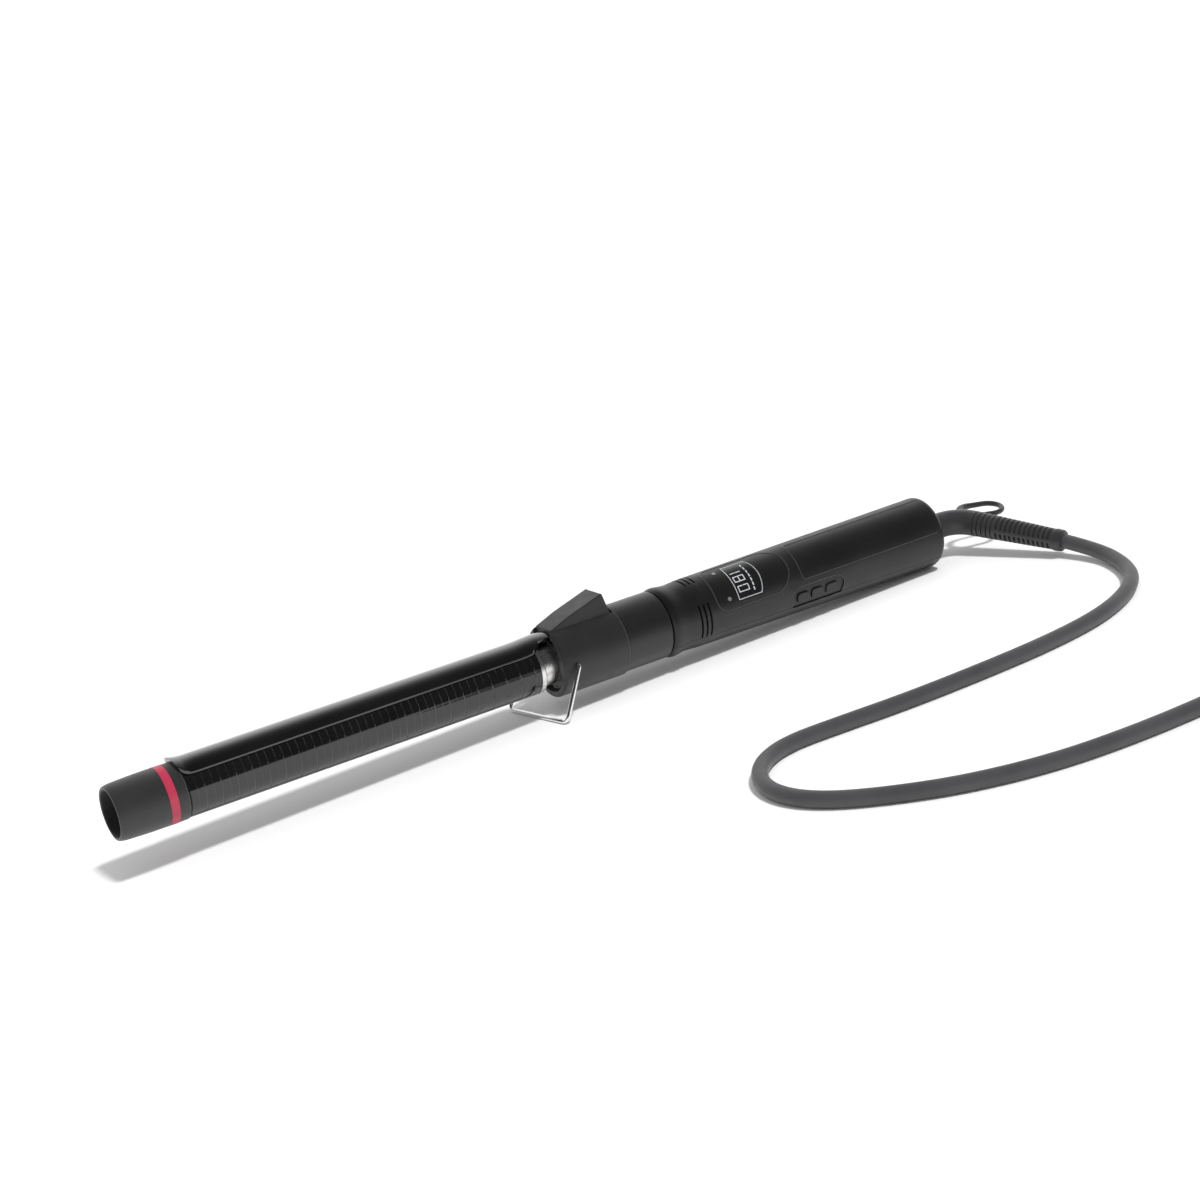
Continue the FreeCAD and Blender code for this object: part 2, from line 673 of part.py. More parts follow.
def display_panel():
    """Thin trim panel around the display and the two lights."""
    plate = handle_outside().cut(inlay_pocket_core()).common(panel_plan(0))
    plate = plate.cut(window_plan(0.25))
    for side in (-1, 1):
        plate = plate.cut(light_hole(side, LIGHT_R))
    return in_handle(plate)


def rear_cover():
    """Inlaid cover of the grip's top, from behind the panel to the rounded end."""
    plate = handle_outside().cut(inlay_pocket_core()).common(cover_plan(0))
    return in_handle(plate)


def display_window():
    lens = window_plan(0).common(grip_cone(0.1).cut(rod(WINDOW_X0 - 3, WINDOW_X1 + 5, HANDLE_BORE_R)))
    return in_handle(lens.common(block(200, 400, -20, 20, 5, 20)))


def indicator_lights():
    dots = []
    for side in (-1, 1):
        dot = light_hole(side, LIGHT_R).common(grip_cone(0.15)).cut(rod(200, 400, 12.6))
        dots.append(dot)
    return in_handle(group(dots))


def lcd_module():
    return in_handle(block(276.4, 291.0, -7.6, 7.6, 6.6, 10.6))


def circuit_board():
    board = block(264.5, 349, -11.3, 11.3, 4.6, 6.2)
    return in_handle(board.cut(block(302, 333, -12, -3.0, 4, 7)))


def power_components():
    """Choke, capacitor and switching device under the board."""
    capacitor = Part.makeCylinder(4.2, 16, Vector(300, 4.8, -0.4), X_AXIS)
    choke = Part.makeCylinder(3.6, 9, Vector(272, 0, -5.0), Z_AXIS)
    device = block(286, 296.5, -8.2, -4.2, -5.4, 4.0)
    fuse = Part.makeCylinder(2.2, 14, Vector(322, 6.4, 1.8), X_AXIS)
    return in_handle(group([capacitor, choke, device, fuse]))


def tact_switches():
    switches = []
    for x in BUTTON_X:
        switches.append(block(x - 2.2, x + 2.2, -2.2, 2.2, 9.4, 11.6).fuse(upright(x, 0, 11.6, 12.3, 1.0)))
    return in_handle(rolled(group(switches), BUTTON_TURN))


def button_board():
    return in_handle(rolled(block(305, 330, -2.9, 2.9, 8.3, 9.4), BUTTON_TURN))


def button_pad():
    """Recessed D-shaped plate with the three key openings."""
    plate = pad_plan(0).common(grip_cone(-0.45).cut(rod(PAD_X0 - 2, PAD_X1 + 2, PAD_INNER_R)))
    for x in BUTTON_X:
        plate = plate.cut(rolled(button_body(x, BUTTON_CLEARANCE), BUTTON_TURN))
    return in_handle(plate)


def button(x):
    cap = button_body(x, 0)
    crown = [e for e in cap.Edges if e.BoundBox.ZMin > 15.7]
    cap = cap.makeFillet(0.45, crown)
    flange = block(x - 3.3, x + 3.3, -2.6, 2.6, 12.85, 13.15)
    stem = upright(x, 0, 12.85, 13.2, 1.2)
    return in_handle(rolled(cap.fuse(flange).fuse(stem).removeSplitter(), BUTTON_TURN))


# ---------------------------------------------------------------- swivel and cord

def swivel_socket():
    """Bearing in the handle's end in which the cord's neck turns."""
    bearing = tube(375, 385.4, 8.9, SWIVEL_R + SWIVEL_CLEARANCE)
    collar = tube(379.1, 381, 11.0, 8.9)
    return bearing.fuse(collar).removeSplitter()


def contact_brushes():
    """Two sprung contacts that stay on the slip rings as the cord turns."""
    brushes = []
    for x in (363.0, 368.4):
        carbon = block(x, x + 2.2, -1.2, 1.2, 5.35, 8.4)
        arm = block(x + 0.7, x + 1.5, -1.2, 1.2, 8.4, 9.2)
        brushes.append(carbon.fuse(arm).removeSplitter())
    return group(brushes)


def supply_leads():
    leads = []
    for y in (-5.0, 5.0):
        leads.append(Part.makeCylinder(0.9, 22, Vector(349.5, y, 9.6), X_AXIS))
    return in_handle(group(leads))


def slip_rings():
    return group([tube(x, x + 3.0, 5.3, 4.2) for x in (362.6, 368.0)])


def relief_way():
    return (Vector(*RELIEF_END) - seated_point(NECK_TURN_X, 0, 0)).normalize()


def relief_start():
    return seated_point(NECK_TURN_X, 0, 0) + relief_way() * (NECK_TRIM + 0.5)


def swivel_neck():
    """Shaft with a retaining flange inside, and a smooth bend outside that the strain relief grows from."""
    shaft_start = seated_point(374.0, 0, 0)
    corner = seated_point(NECK_TURN_X, 0, 0)
    back = (shaft_start - corner).normalize()
    ahead = relief_way()
    turn = math.pi - back.getAngle(ahead)
    radius = NECK_TRIM / math.tan(turn / 2)
    middle = corner + (back + ahead).normalize() * (radius / math.cos(turn / 2) - radius)
    path = Part.Wire([
        Part.LineSegment(shaft_start, corner + back * NECK_TRIM).toShape(),
        Part.Arc(corner + back * NECK_TRIM, middle, corner + ahead * NECK_TRIM).toShape(),
        Part.LineSegment(corner + ahead * NECK_TRIM, relief_start()).toShape(),
    ])
    section = Part.Wire(Part.makeCircle(SWIVEL_R, shaft_start, corner - shaft_start))
    body = path.makePipeShell([section], True, False)
    inner = seated(rod(361.0, 374.0, 4.2))
    flange = seated(rod(373.0, 374.9, 7.2))
    return body.fuse(inner).fuse(flange).removeSplitter()


def retaining_ring():
    return tube(371.9, 372.9, 6.6, 4.2)


def along_relief(shape):
    """Places a shape made along +X from the origin on the strain relief's line."""
    copy = shape.copy()
    place = FreeCAD.Placement(relief_start(), FreeCAD.Rotation(X_AXIS, relief_way()))
    copy.Placement = place.multiply(copy.Placement)
    return copy


def relief_length():
    return (Vector(*RELIEF_END) - relief_start()).Length


def strain_relief():
    """Tapered, ribbed boot."""
    length = relief_length()
    ribs = 13
    step = (length - 4.0) / ribs
    core = Part.makeCone(3.9, 3.5, length, ORIGIN, X_AXIS)
    pieces = [core, rod(0, 1.6, SWIVEL_R)]
    for i in range(ribs):
        x = 1.6 + i * step + step * 0.38
        radius = 5.5 - 1.3 * i / ribs
        pieces.append(rod(x, x + step * 0.62, radius))
    pieces.append(rod(length - 2.2, length, 4.2))
    for side in (-1, 1):
        pieces.append(block(1.6, length - 1, side * 3.6 - 0.9, side * 3.6 + 0.9, -1.1, 1.1))
    return along_relief(joined(pieces))


def hanging_loop():
    """Moulded oval ring on the boot's far side, to hang the iron from a hook."""
    half = LOOP_RUN / 2
    corners = [Vector(-half, LOOP_R, 0), Vector(half, LOOP_R, 0), Vector(half, -LOOP_R, 0), Vector(-half, -LOOP_R, 0)]
    path = Part.Wire([
        Part.LineSegment(corners[0], corners[1]).toShape(),
        Part.Arc(corners[1], Vector(half + LOOP_R, 0, 0), corners[2]).toShape(),
        Part.LineSegment(corners[2], corners[3]).toShape(),
        Part.Arc(corners[3], Vector(-half - LOOP_R, 0, 0), corners[0]).toShape(),
    ])
    section = Part.Wire(Part.makeCircle(LOOP_WIRE_R, corners[0], X_AXIS))
    ring = path.makePipeShell([section], True, False)
    tilt = FreeCAD.Rotation(Z_AXIS, Vector(0.05, -0.14, 1.0))
    yaw = FreeCAD.Rotation(Z_AXIS, LOOP_YAW)
    ring.Placement = FreeCAD.Placement(Vector(*LOOP_CENTRE), tilt.multiply(yaw))
    ring = ring.cut(swivel_neck())
    ring = ring.cut(strain_relief())
    return max(ring.Solids, key=lambda s: s.Volume)


def cord_route():
    """Hand-placed corners of the cord's way over the floor, from the strain relief to the coil."""
    flat = [
        (428.3, -68.0), (423.5, -88.5), (412.5, -106.5), (394.0, -120.0), (370.0, -129.0), (340.0, -132.4),
        (306.0, -132.2), (272.0, -130.4), (244.0, -126.6), (220.0, -124.0), (203.4, -130.8), (192.6, -144.8),
        (189.8, -162.4), (196.3, -179.5), (213.0, -196.3), (236.0, -212.5), (266.0, -224.5), (300.0, -230.0),
        (336.0, -231.6), (372.0, -230.4),
    ]
    start = Vector(*RELIEF_END)
    return [start] + [Vector(x, y, CORD_HEIGHT if i else 4.4) for i, (x, y) in enumerate(flat)]


def cord_tube():
    return swept(cord_route(), CORD_D / 2)


def cord_coil():
    """Outer form of the wound-up rest of the cord, tied as for storage."""
    x, y = COIL_CENTRE
    edge = 3.0
    outline = [
        (COIL_INNER_R + edge, COIL_BOTTOM), (COIL_OUTER_R - edge, COIL_BOTTOM), (COIL_OUTER_R, COIL_BOTTOM + edge),
        (COIL_OUTER_R, COIL_TOP - edge), (COIL_OUTER_R - edge, COIL_TOP), (COIL_INNER_R + edge, COIL_TOP),
        (COIL_INNER_R, COIL_TOP - edge), (COIL_INNER_R, COIL_BOTTOM + edge),
    ]
    corners = [Vector(x + r, y, z) for r, z in outline]
    return Part.Face(Part.makePolygon(corners + [corners[0]])).revolve(Vector(x, y, 0), Z_AXIS, 360)


def cord_tie():
    """Flat strap around the coil's section."""
    x, y = COIL_CENTRE
    outer = block(COIL_INNER_R - 0.9, COIL_OUTER_R + 0.9, -4.5, 4.5, 0, COIL_TOP + 0.9)
    inner = block(COIL_INNER_R, COIL_OUTER_R, -5, 5, COIL_BOTTOM, COIL_TOP)
    strap = outer.cut(inner)
    strap.translate(Vector(x, y, 0))
    strap = strap.cut(cord_coil())
    return strap


def tail_route():
    return [
        Vector(374.0, PLUG_Y + 0.6, 10.0),
        Vector(360.0, PLUG_Y, 8.8),
        Vector(346.0, PLUG_Y, 7.3),
        Vector(PLUG_X + 12.0, PLUG_Y, PLUG_Z),
    ]


def cord_tail():
    return swept(tail_route(), CORD_D / 2)


def plug_boot():
    boot = Part.makeCone(5.2, 4.2, 12.0, Vector(PLUG_X, PLUG_Y, PLUG_Z), X_AXIS)
    for i in range(4):
        x = PLUG_X + 2.0 + 2.6 * i
        ring = Part.makeCylinder(6, 0.9, Vector(x, PLUG_Y, PLUG_Z), X_AXIS)
        boot = boot.cut(ring.cut(Part.makeCylinder(3.8, 0.9, Vector(x, PLUG_Y, PLUG_Z), X_AXIS)))
    return boot


def plug_body():
    """Flat two-pin plug, narrower at its grip end."""
    outline = [(-36.0, 17.4), (-30.0, 17.6), (-18.0, 12.6), (0.0, 8.6)]
    corners = [Vector(PLUG_X + x, PLUG_Y + y, 0.35) for x, y in outline]
    corners += [Vector(PLUG_X + x, PLUG_Y - y, 0.35) for x, y in reversed(outline)]
    body = Part.Face(Part.makePolygon(corners + [corners[0]])).extrude(Vector(0, 0, 13.7))
    return body.makeFillet(3.0, [e for e in body.Edges if e.Length > 5 and abs(e.BoundBox.ZLength) < 0.01
                                 and e.BoundBox.XMax > PLUG_X - 35])


def plug_pins():
    pins = []
    x = PLUG_X - 36.0
    for side in (-1, 1):
        y = PLUG_Y + side * PLUG_PIN_SPACING / 2
        pin = Part.makeCylinder(PLUG_PIN_R, PLUG_PIN_LENGTH, Vector(x - PLUG_PIN_LENGTH, y, PLUG_Z), X_AXIS)
        pins.append(pin.makeFillet(0.9, [e for e in pin.Edges if e.BoundBox.XMax < x - PLUG_PIN_LENGTH + 0.1]))
    return group(pins)


# ---------------------------------------------------------------- assembly

def tool_parts():
    parts = {
        "barrel_tube": barrel_tube(),
        "cool_tip": cool_tip(),
        "tip_band": tip_band(),
        "tip_collar": tip_collar(),
        "barrel_ferrule": barrel_ferrule(),
        "insulator_bush": insulator_bush(),
        "heater_clamp_upper": heater_clamp(1),
        "heater_clamp_lower": heater_clamp(-1),
        "heater_element": heater_element(),
        "temperature_sensor": temperature_sensor(),
        "heater_leads": heater_leads(),
        "front_sleeve": front_sleeve(),
        "sleeve_face_ring": sleeve_face_ring(),
        "neck_sleeve": neck_sleeve(),
        "hinge_pin": hinge_pin(),
        "clip_spoon": clipped_clip(),
        "clip_rivets": clip_rivets(),
        "thumb_lever": thumb_lever(),
        "torsion_spring": torsion_spring(),
        "wire_stand": wire_stand(),
        "handle_upper_shell": handle_upper_shell(),
        "handle_lower_shell": handle_lower_shell(),
        "shell_screws": shell_screws(),
        "display_panel": display_panel(),
        "rear_cover": rear_cover(),
        "display_window": display_window(),
        "indicator_lights": indicator_lights(),
        "lcd_module": lcd_module(),
        "circuit_board": circuit_board(),
        "power_components": power_components(),
        "tact_switches": tact_switches(),
        "button_board": button_board(),
        "button_pad": button_pad(),
        "button_front": button(BUTTON_X[0]),
        "button_middle": button(BUTTON_X[1]),
        "button_rear": button(BUTTON_X[2]),
        "swivel_socket": swivel_socket(),
        "contact_brushes": contact_brushes(),
        "supply_leads": supply_leads(),
        "slip_rings": slip_rings(),
        "retaining_ring": retaining_ring(),
    }
    return {name: seated(shape) for name, shape in parts.items()}


def cord_parts():
    route, route_path, route_radii = cord_tube()
    tail, tail_path, tail_radii = cord_tail()
    section = math.pi * (CORD_D / 2) ** 2
    for name, solid, path, radii in (("cord_tube", route, route_path, route_radii),
                                     ("cord_tail", tail, tail_path, tail_radii)):
        print(name, "length", round(path.Length, 1), "volume share", round(solid.Volume / (section * path.Length), 4),
              "radii", [round(r, 1) for r in radii])
    return {
        "cord_tube": route,
        "cord_coil": cord_coil(),
        "cord_tie": cord_tie(),
        "cord_tail": tail,
        "plug_boot": plug_boot(),
        "plug_body": plug_body(),
        "plug_pins": plug_pins(),
    }


def main():
    os.makedirs("parts", exist_ok=True)
    iron = tool_parts()
    iron["swivel_neck"] = swivel_neck()
    iron["strain_relief"] = strain_relief()
    iron["hanging_loop"] = hanging_loop()
    box = FreeCAD.BoundBox()
    for shape in iron.values():
        box.add(shape.optimalBoundingBox(True, False))
    shift = Vector(-box.Center.x, -box.Center.y, -box.ZMin)
    print("tilt", round(math.degrees(TILT), 4), "lift", round(LIFT, 3), "shift", shift, "box", box)
    parts = dict(iron)
    parts.update(cord_parts())
    for name, shape in parts.items():
        placed = shape.copy()
        placed.translate(shift)
        if not placed.isValid() or placed.Volume <= 0:
            print("BAD", name, placed.isValid(), placed.Volume)
        placed.exportStep("parts/" + name + ".step")
    report = {
        "hinge": seated_point(PIVOT_X, 0, PIVOT_Z) + shift,
        "stand": seated_point(STAND_PIVOT_X, 0, 0) + shift,
        "swivel": seated_point(HANDLE_END_X, 0, 0) + shift,
        "axis": seated_point(1, 0, 0) - seated_point(0, 0, 0),
        "relief_end": Vector(*RELIEF_END) + shift,
        "plug": Vector(PLUG_X - 36.0, PLUG_Y, PLUG_Z) + shift,
        "mouth": seated_point(0, 0, 0) + shift,
        "loop": Vector(*LOOP_CENTRE) + shift,
    }
    for name, value in report.items():
        print(name, [round(c, 4) for c in value])


main()
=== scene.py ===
import bmesh
import bpy
import json
import math
from mathutils import Matrix, Quaternion, Vector


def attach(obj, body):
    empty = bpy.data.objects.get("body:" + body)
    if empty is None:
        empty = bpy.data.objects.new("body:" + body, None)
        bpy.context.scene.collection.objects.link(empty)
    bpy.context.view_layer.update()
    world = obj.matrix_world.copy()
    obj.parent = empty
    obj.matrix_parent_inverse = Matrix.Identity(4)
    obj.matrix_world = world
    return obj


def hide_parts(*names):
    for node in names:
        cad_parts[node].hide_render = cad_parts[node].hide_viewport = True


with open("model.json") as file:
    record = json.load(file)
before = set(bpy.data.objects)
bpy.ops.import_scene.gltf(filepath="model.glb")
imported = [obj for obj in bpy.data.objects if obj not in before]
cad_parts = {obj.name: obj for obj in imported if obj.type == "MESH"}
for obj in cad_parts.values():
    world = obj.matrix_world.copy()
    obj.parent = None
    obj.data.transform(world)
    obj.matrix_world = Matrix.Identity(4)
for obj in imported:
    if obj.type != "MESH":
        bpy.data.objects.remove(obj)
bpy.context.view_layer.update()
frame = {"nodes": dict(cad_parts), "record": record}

# Meshes are made in metres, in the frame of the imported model. Most places below are given in millimetres, in
# the tool's own frame: X along the iron from the tip's rim, +Z through the thumb lever, -Y the buttons' side.
MM = 0.001
MOUNTS = {mount["name"]: mount for mount in frame["record"]["mounts"]}

TIP_BORE_MIDDLE = 6.3
TOOL_X = -Vector(MOUNTS["tip_mouth"]["axis"]).normalized()
TOOL_Y = Vector((0, 1, 0))
TOOL_Z = TOOL_X.cross(TOOL_Y)
MOUTH = Vector(MOUNTS["tip_mouth"]["pos_m"]) - TOOL_X * TIP_BORE_MIDDLE * MM

# Where the seated tool's own origin on the floor lies in the row's frame
FRAME_SHIFT = Vector((MOUTH.x, MOUTH.y, 0))

# Sizes in millimetres and turns in degrees. Most are the CAD model's own.
HANDLE_TURN = 44.0
GRIP_X = 263.0
GRIP_END_X = 385.0
GRIP_R = (15.0, 16.05)
BARREL_START_X = 26.8
GROOVE_PITCH = 6.6
CLIP_X = (25.4, 197.0)
CLIP_INNER_R = 11.65
CLIP_THICKNESS = 0.95
CLIP_HALF_WIDTH = 8.8
CLIP_ARM_HALF_WIDTH = 5.4
CLIP_REAR_X = 185.0
CLIP_CORNER_R = (3.4, 5.5)
NECK_TURN_X = 406.5
NECK_TRIM = 9.5
NECK_R = 5.7
CORD_D = 6.4
CORD_HOLE_R = 3.25


def tool_point(x, y, z):
    """A point of the tool's frame, in millimetres, as a point of the row's frame in metres."""
    return MOUTH + (TOOL_X * x + TOOL_Y * y + TOOL_Z * z) * MM


def grip_radius(x):
    """The grip widens slightly towards its rear end."""
    return GRIP_R[0] + (GRIP_R[1] - GRIP_R[0]) * (x - GRIP_X) / (GRIP_END_X - GRIP_X)


def on_handle(x, angle, lift):
    """A point above the grip's surface, at an angle from the display's middle towards the buttons."""
    turn = math.radians(HANDLE_TURN + angle)
    radius = grip_radius(x) + lift
    return tool_point(x, -radius * math.sin(turn), radius * math.cos(turn))


def arc_angle(width, x):
    """The angle at which a flat plan's half width meets the round grip."""
    return math.degrees(math.asin(width / grip_radius(x)))


def turn_per_mm(x):
    """Degrees for each millimetre along the grip's surface, around it."""
    return math.degrees(1 / grip_radius(x))


def neighbours(places, i, closed):
    """The places before and after one on a path. An open path's ends stand in for what they lack."""
    last = len(places) - 1
    before = places[i - 1] if i > 0 or closed else places[0]
    after = places[(i + 1) % len(places)] if i < last or closed else places[last]
    return before, after


def new_object(name, data):
    """An object linked into the scene."""
    thing = bpy.data.objects.new(name, data)
    bpy.context.scene.collection.objects.link(thing)
    return thing


# ------------------------ camera

CAMERA_AIM = Vector((0.22156, 0.00297, 0.03811)) + FRAME_SHIFT
CAMERA_DISTANCE = 0.9981
CAMERA_AZIMUTH = 27.74
CAMERA_ELEVATION = 17.31
CAMERA_ROLL = -11.62
CAMERA_LENS = 72.0
SENSOR = 36.0


def add_camera():
    azimuth = math.radians(CAMERA_AZIMUTH)
    elevation = math.radians(CAMERA_ELEVATION)
    ahead = Vector((math.sin(azimuth) * math.cos(elevation), math.cos(azimuth) * math.cos(elevation),
                    -math.sin(elevation)))
    level_right = Vector((math.cos(azimuth), -math.sin(azimuth), 0))
    level_up = level_right.cross(ahead)
    roll = math.radians(CAMERA_ROLL)
    right = level_right * math.cos(roll) + level_up * math.sin(roll)
    up = right.cross(ahead)
    camera = new_object("camera", bpy.data.cameras.new("camera"))
    camera.data.lens = CAMERA_LENS
    camera.data.sensor_width = SENSOR
    camera.data.clip_start = 0.01
    camera.data.clip_end = 100.0
    pose = Matrix((right, up, -ahead)).transposed().to_4x4()
    pose.translation = CAMERA_AIM - ahead * CAMERA_DISTANCE
    camera.matrix_world = pose
    bpy.context.scene.camera = camera


# ------------------------ node helpers for materials

EDGE_SOFTNESS = 0.00025
SHINY_SPECULAR = 0.8


def new_material(name):
    """A new material, its node tree and its shader."""
    material = bpy.data.materials.new(name)
    material.use_nodes = True
    return material, material.node_tree, material.node_tree.nodes["Principled BSDF"]


def place_of(tree, scale=(1, 1, 1)):
    """Object coordinates, stretched by scale."""
    coordinates = tree.nodes.new("ShaderNodeTexCoord")
    mapping = tree.nodes.new("ShaderNodeMapping")
    mapping.inputs["Scale"].default_value = scale
    tree.links.new(coordinates.outputs["Object"], mapping.inputs["Vector"])
    return mapping.outputs["Vector"]


def noise_of(tree, place, scale, detail=2.0, rough=0.5):
    noise = tree.nodes.new("ShaderNodeTexNoise")
    noise.inputs["Scale"].default_value = scale
    noise.inputs["Detail"].default_value = detail
    noise.inputs["Roughness"].default_value = rough
    tree.links.new(place, noise.inputs["Vector"])
    return noise.outputs["Fac"]


def ramp_of(tree, value, low, high, start=0.3, end=0.7):
    """A value turned into a grey or colour between low and high as it goes from start to end."""
    ramp = tree.nodes.new("ShaderNodeValToRGB")
    for element, place, tone in zip(ramp.color_ramp.elements, (start, end), (low, high)):
        element.position = place
        element.color = (*tone, 1) if isinstance(tone, tuple) else (tone, tone, tone, 1)
    tree.links.new(value, ramp.inputs["Fac"])
    return ramp.outputs["Color"]


def math_of(tree, operation, first, second=None):
    node = tree.nodes.new("ShaderNodeMath")
    node.operation = operation
    for socket, value in zip(node.inputs, (first, second)):
        if value is None:
            continue
        if isinstance(value, (int, float)):
            socket.default_value = value
        else:
            tree.links.new(value, socket)
    return node.outputs[0]


def along_tool(tree):
    """Distance along the tool's axis from the tip's mouth, in millimetres."""
    coordinates = tree.nodes.new("ShaderNodeTexCoord")
    dot = tree.nodes.new("ShaderNodeVectorMath")
    dot.operation = "DOT_PRODUCT"
    dot.inputs[1].default_value = TOOL_X / MM
    tree.links.new(coordinates.outputs["Object"], dot.inputs[0])
    return math_of(tree, "SUBTRACT", dot.outputs["Value"], MOUTH.dot(TOOL_X) / MM)


def bump_of(tree, height, distance, before=None):
    bump = tree.nodes.new("ShaderNodeBump")
    bump.inputs["Distance"].default_value = distance
    tree.links.new(height, bump.inputs["Height"])
    if before is not None:
        tree.links.new(before, bump.inputs["Normal"])
    return bump.outputs["Normal"]


def rounded_edges(tree):
    """Softens the light on sharp moulded edges over a fraction of a millimetre."""
    bevel = tree.nodes.new("ShaderNodeBevel")
    bevel.samples = 4
    bevel.inputs["Radius"].default_value = EDGE_SOFTNESS
    return bevel.outputs["Normal"]


def moulded(name, dark, light, rough, grain, depth, patch=60.0, sheen=0.0):
    """Moulded plastic or rubber: uneven colour, uneven gloss, a fine grain and softened edges."""
    material, tree, shader = new_material(name)
    place = place_of(tree)
    wide = noise_of(tree, place, patch, 4.0, 0.6)
    fine = noise_of(tree, place, grain, 3.0, 0.6)
    tree.links.new(ramp_of(tree, wide, dark, light), shader.inputs["Base Color"])
    gloss = noise_of(tree, place, patch * 3.7, 5.0, 0.65)
    tree.links.new(ramp_of(tree, gloss, rough[0], rough[1]), shader.inputs["Roughness"])
    tree.links.new(bump_of(tree, fine, depth, rounded_edges(tree)), shader.inputs["Normal"])
    shader.inputs["Sheen Weight"].default_value = sheen
    return material


def metal(name, dark, light, rough, grain, stretch=(1, 1, 1), depth=0.00001):
    """Metal with its marks stretched along the way it was worked."""
    material, tree, shader = new_material(name)
    place = place_of(tree, stretch)
    marks = noise_of(tree, place, grain, 4.0, 0.65)
    tree.links.new(ramp_of(tree, marks, dark, light), shader.inputs["Base Color"])
    tree.links.new(ramp_of(tree, marks, rough[0], rough[1]), shader.inputs["Roughness"])
    tree.links.new(bump_of(tree, marks, depth), shader.inputs["Normal"])
    shader.inputs["Metallic"].default_value = 1.0
    return material


def glossy(name, dark, light, rough, coat):
    """Glossy coating: faint unevenness of the surface and a few specks of dust."""
    material, tree, shader = new_material(name)
    place = place_of(tree)
    wide = noise_of(tree, place, 35.0, 3.0)
    specks = noise_of(tree, place, 1500.0, 1.0)
    tree.links.new(ramp_of(tree, wide, dark, light), shader.inputs["Base Color"])
    tree.links.new(ramp_of(tree, specks, rough, rough + 0.22, 0.68, 0.8), shader.inputs["Roughness"])
    peel = noise_of(tree, place, 260.0, 2.0)
    tree.links.new(bump_of(tree, peel, 0.000008), shader.inputs["Normal"])
    shader.inputs["Coat Weight"].default_value = coat
    shader.inputs["Specular IOR Level"].default_value = SHINY_SPECULAR
    shader.inputs["Coat Roughness"].default_value = 0.04
    return material


def barrel_coating():
    """Glossy ceramic coating with fine turned lines, painted paler here and there as highlight on the grooves'
    edges.
    """
    material, tree, shader = new_material("ceramic_coating")
    place = place_of(tree)
    station = along_tool(tree)
    from_start = math_of(tree, "SUBTRACT", station, BARREL_START_X)
    turns = math_of(tree, "DIVIDE", from_start, GROOVE_PITCH / 2)
    phase = math_of(tree, "FRACT", math_of(tree, "ADD", turns, 0.5))
    offset = math_of(tree, "ABSOLUTE", math_of(tree, "SUBTRACT", phase, 0.5))
    line = ramp_of(tree, offset, 1.0, 0.0, 0.01, 0.045)
    patches = noise_of(tree, place_of(tree, (0.6, 2.5, 2.5)), 60.0, 4.0, 0.6)
    # Where the painted highlight falls: along the turned lines, stronger in some patches than in others
    painted_highlight_lines = math_of(tree, "MULTIPLY", line, ramp_of(tree, patches, 0.25, 1.0, 0.4, 0.62))
    wide = noise_of(tree, place, 45.0, 4.0)
    mix = tree.nodes.new("ShaderNodeMix")
    mix.data_type = "RGBA"
    tree.links.new(painted_highlight_lines, mix.inputs["Factor"])
    plain, pale, mixed = mix.inputs[6], mix.inputs[7], mix.outputs[2]
    tree.links.new(ramp_of(tree, wide, (0.003, 0.003, 0.0035), (0.006, 0.006, 0.0065)), plain)
    # The pale tone is painted highlight on the grooves' edges
    pale.default_value = (0.045, 0.045, 0.047, 1)
    tree.links.new(mixed, shader.inputs["Base Color"])
    smear = noise_of(tree, place_of(tree, (1, 6, 6)), 90.0, 5.0, 0.7)
    base = ramp_of(tree, smear, 0.07, 0.15, 0.35, 0.75)
    dulled = math_of(tree, "MULTIPLY", painted_highlight_lines, 0.22)
    tree.links.new(math_of(tree, "ADD", base, dulled), shader.inputs["Roughness"])
    shader.inputs["Specular IOR Level"].default_value = SHINY_SPECULAR
    fine = noise_of(tree, place, 1400.0, 2.0)
    tree.links.new(bump_of(tree, fine, 0.000006), shader.inputs["Normal"])
    return material


def braided(name, base):
    """Braided sleeve of pale glass threads."""
    material, tree, shader = new_material(name)
    place = place_of(tree)
    weave = tree.nodes.new("ShaderNodeTexVoronoi")
    weave.inputs["Scale"].default_value = 1600.0
    tree.links.new(place, weave.inputs["Vector"])
    shaded = tuple(c * 0.6 for c in base)
    height = weave.outputs["Distance"]
    tree.links.new(ramp_of(tree, height, shaded, base, 0.1, 0.6), shader.inputs["Base Color"])
    tree.links.new(bump_of(tree, height, 0.0002), shader.inputs["Normal"])
    shader.inputs["Roughness"].default_value = 0.8
    return material


def woven(name, base, threads):
    """Woven strap: threads in all three directions, raised where they cross."""
    material, tree, shader = new_material(name)
    place = place_of(tree)
    heights = []
    for direction in ("X", "Y", "Z"):
        wave = tree.nodes.new("ShaderNodeTexWave")
        wave.bands_direction = direction
        wave.inputs["Scale"].default_value = threads
        wave.inputs["Distortion"].default_value = 0.6
        tree.links.new(place, wave.inputs["Vector"])
        heights.append(wave.outputs["Fac"])
    total = math_of(tree, "ADD", heights[0], heights[1])
    total = math_of(tree, "ADD", total, heights[2])
    height = math_of(tree, "DIVIDE", total, 3.0)
    shaded = tuple(c * 0.5 for c in base)
    tree.links.new(ramp_of(tree, height, shaded, base, 0.2, 0.8), shader.inputs["Base Color"])
    tree.links.new(bump_of(tree, height, 0.0003), shader.inputs["Normal"])
    shader.inputs["Roughness"].default_value = 0.85
    shader.inputs["Sheen Weight"].default_value = 0.3
    return material


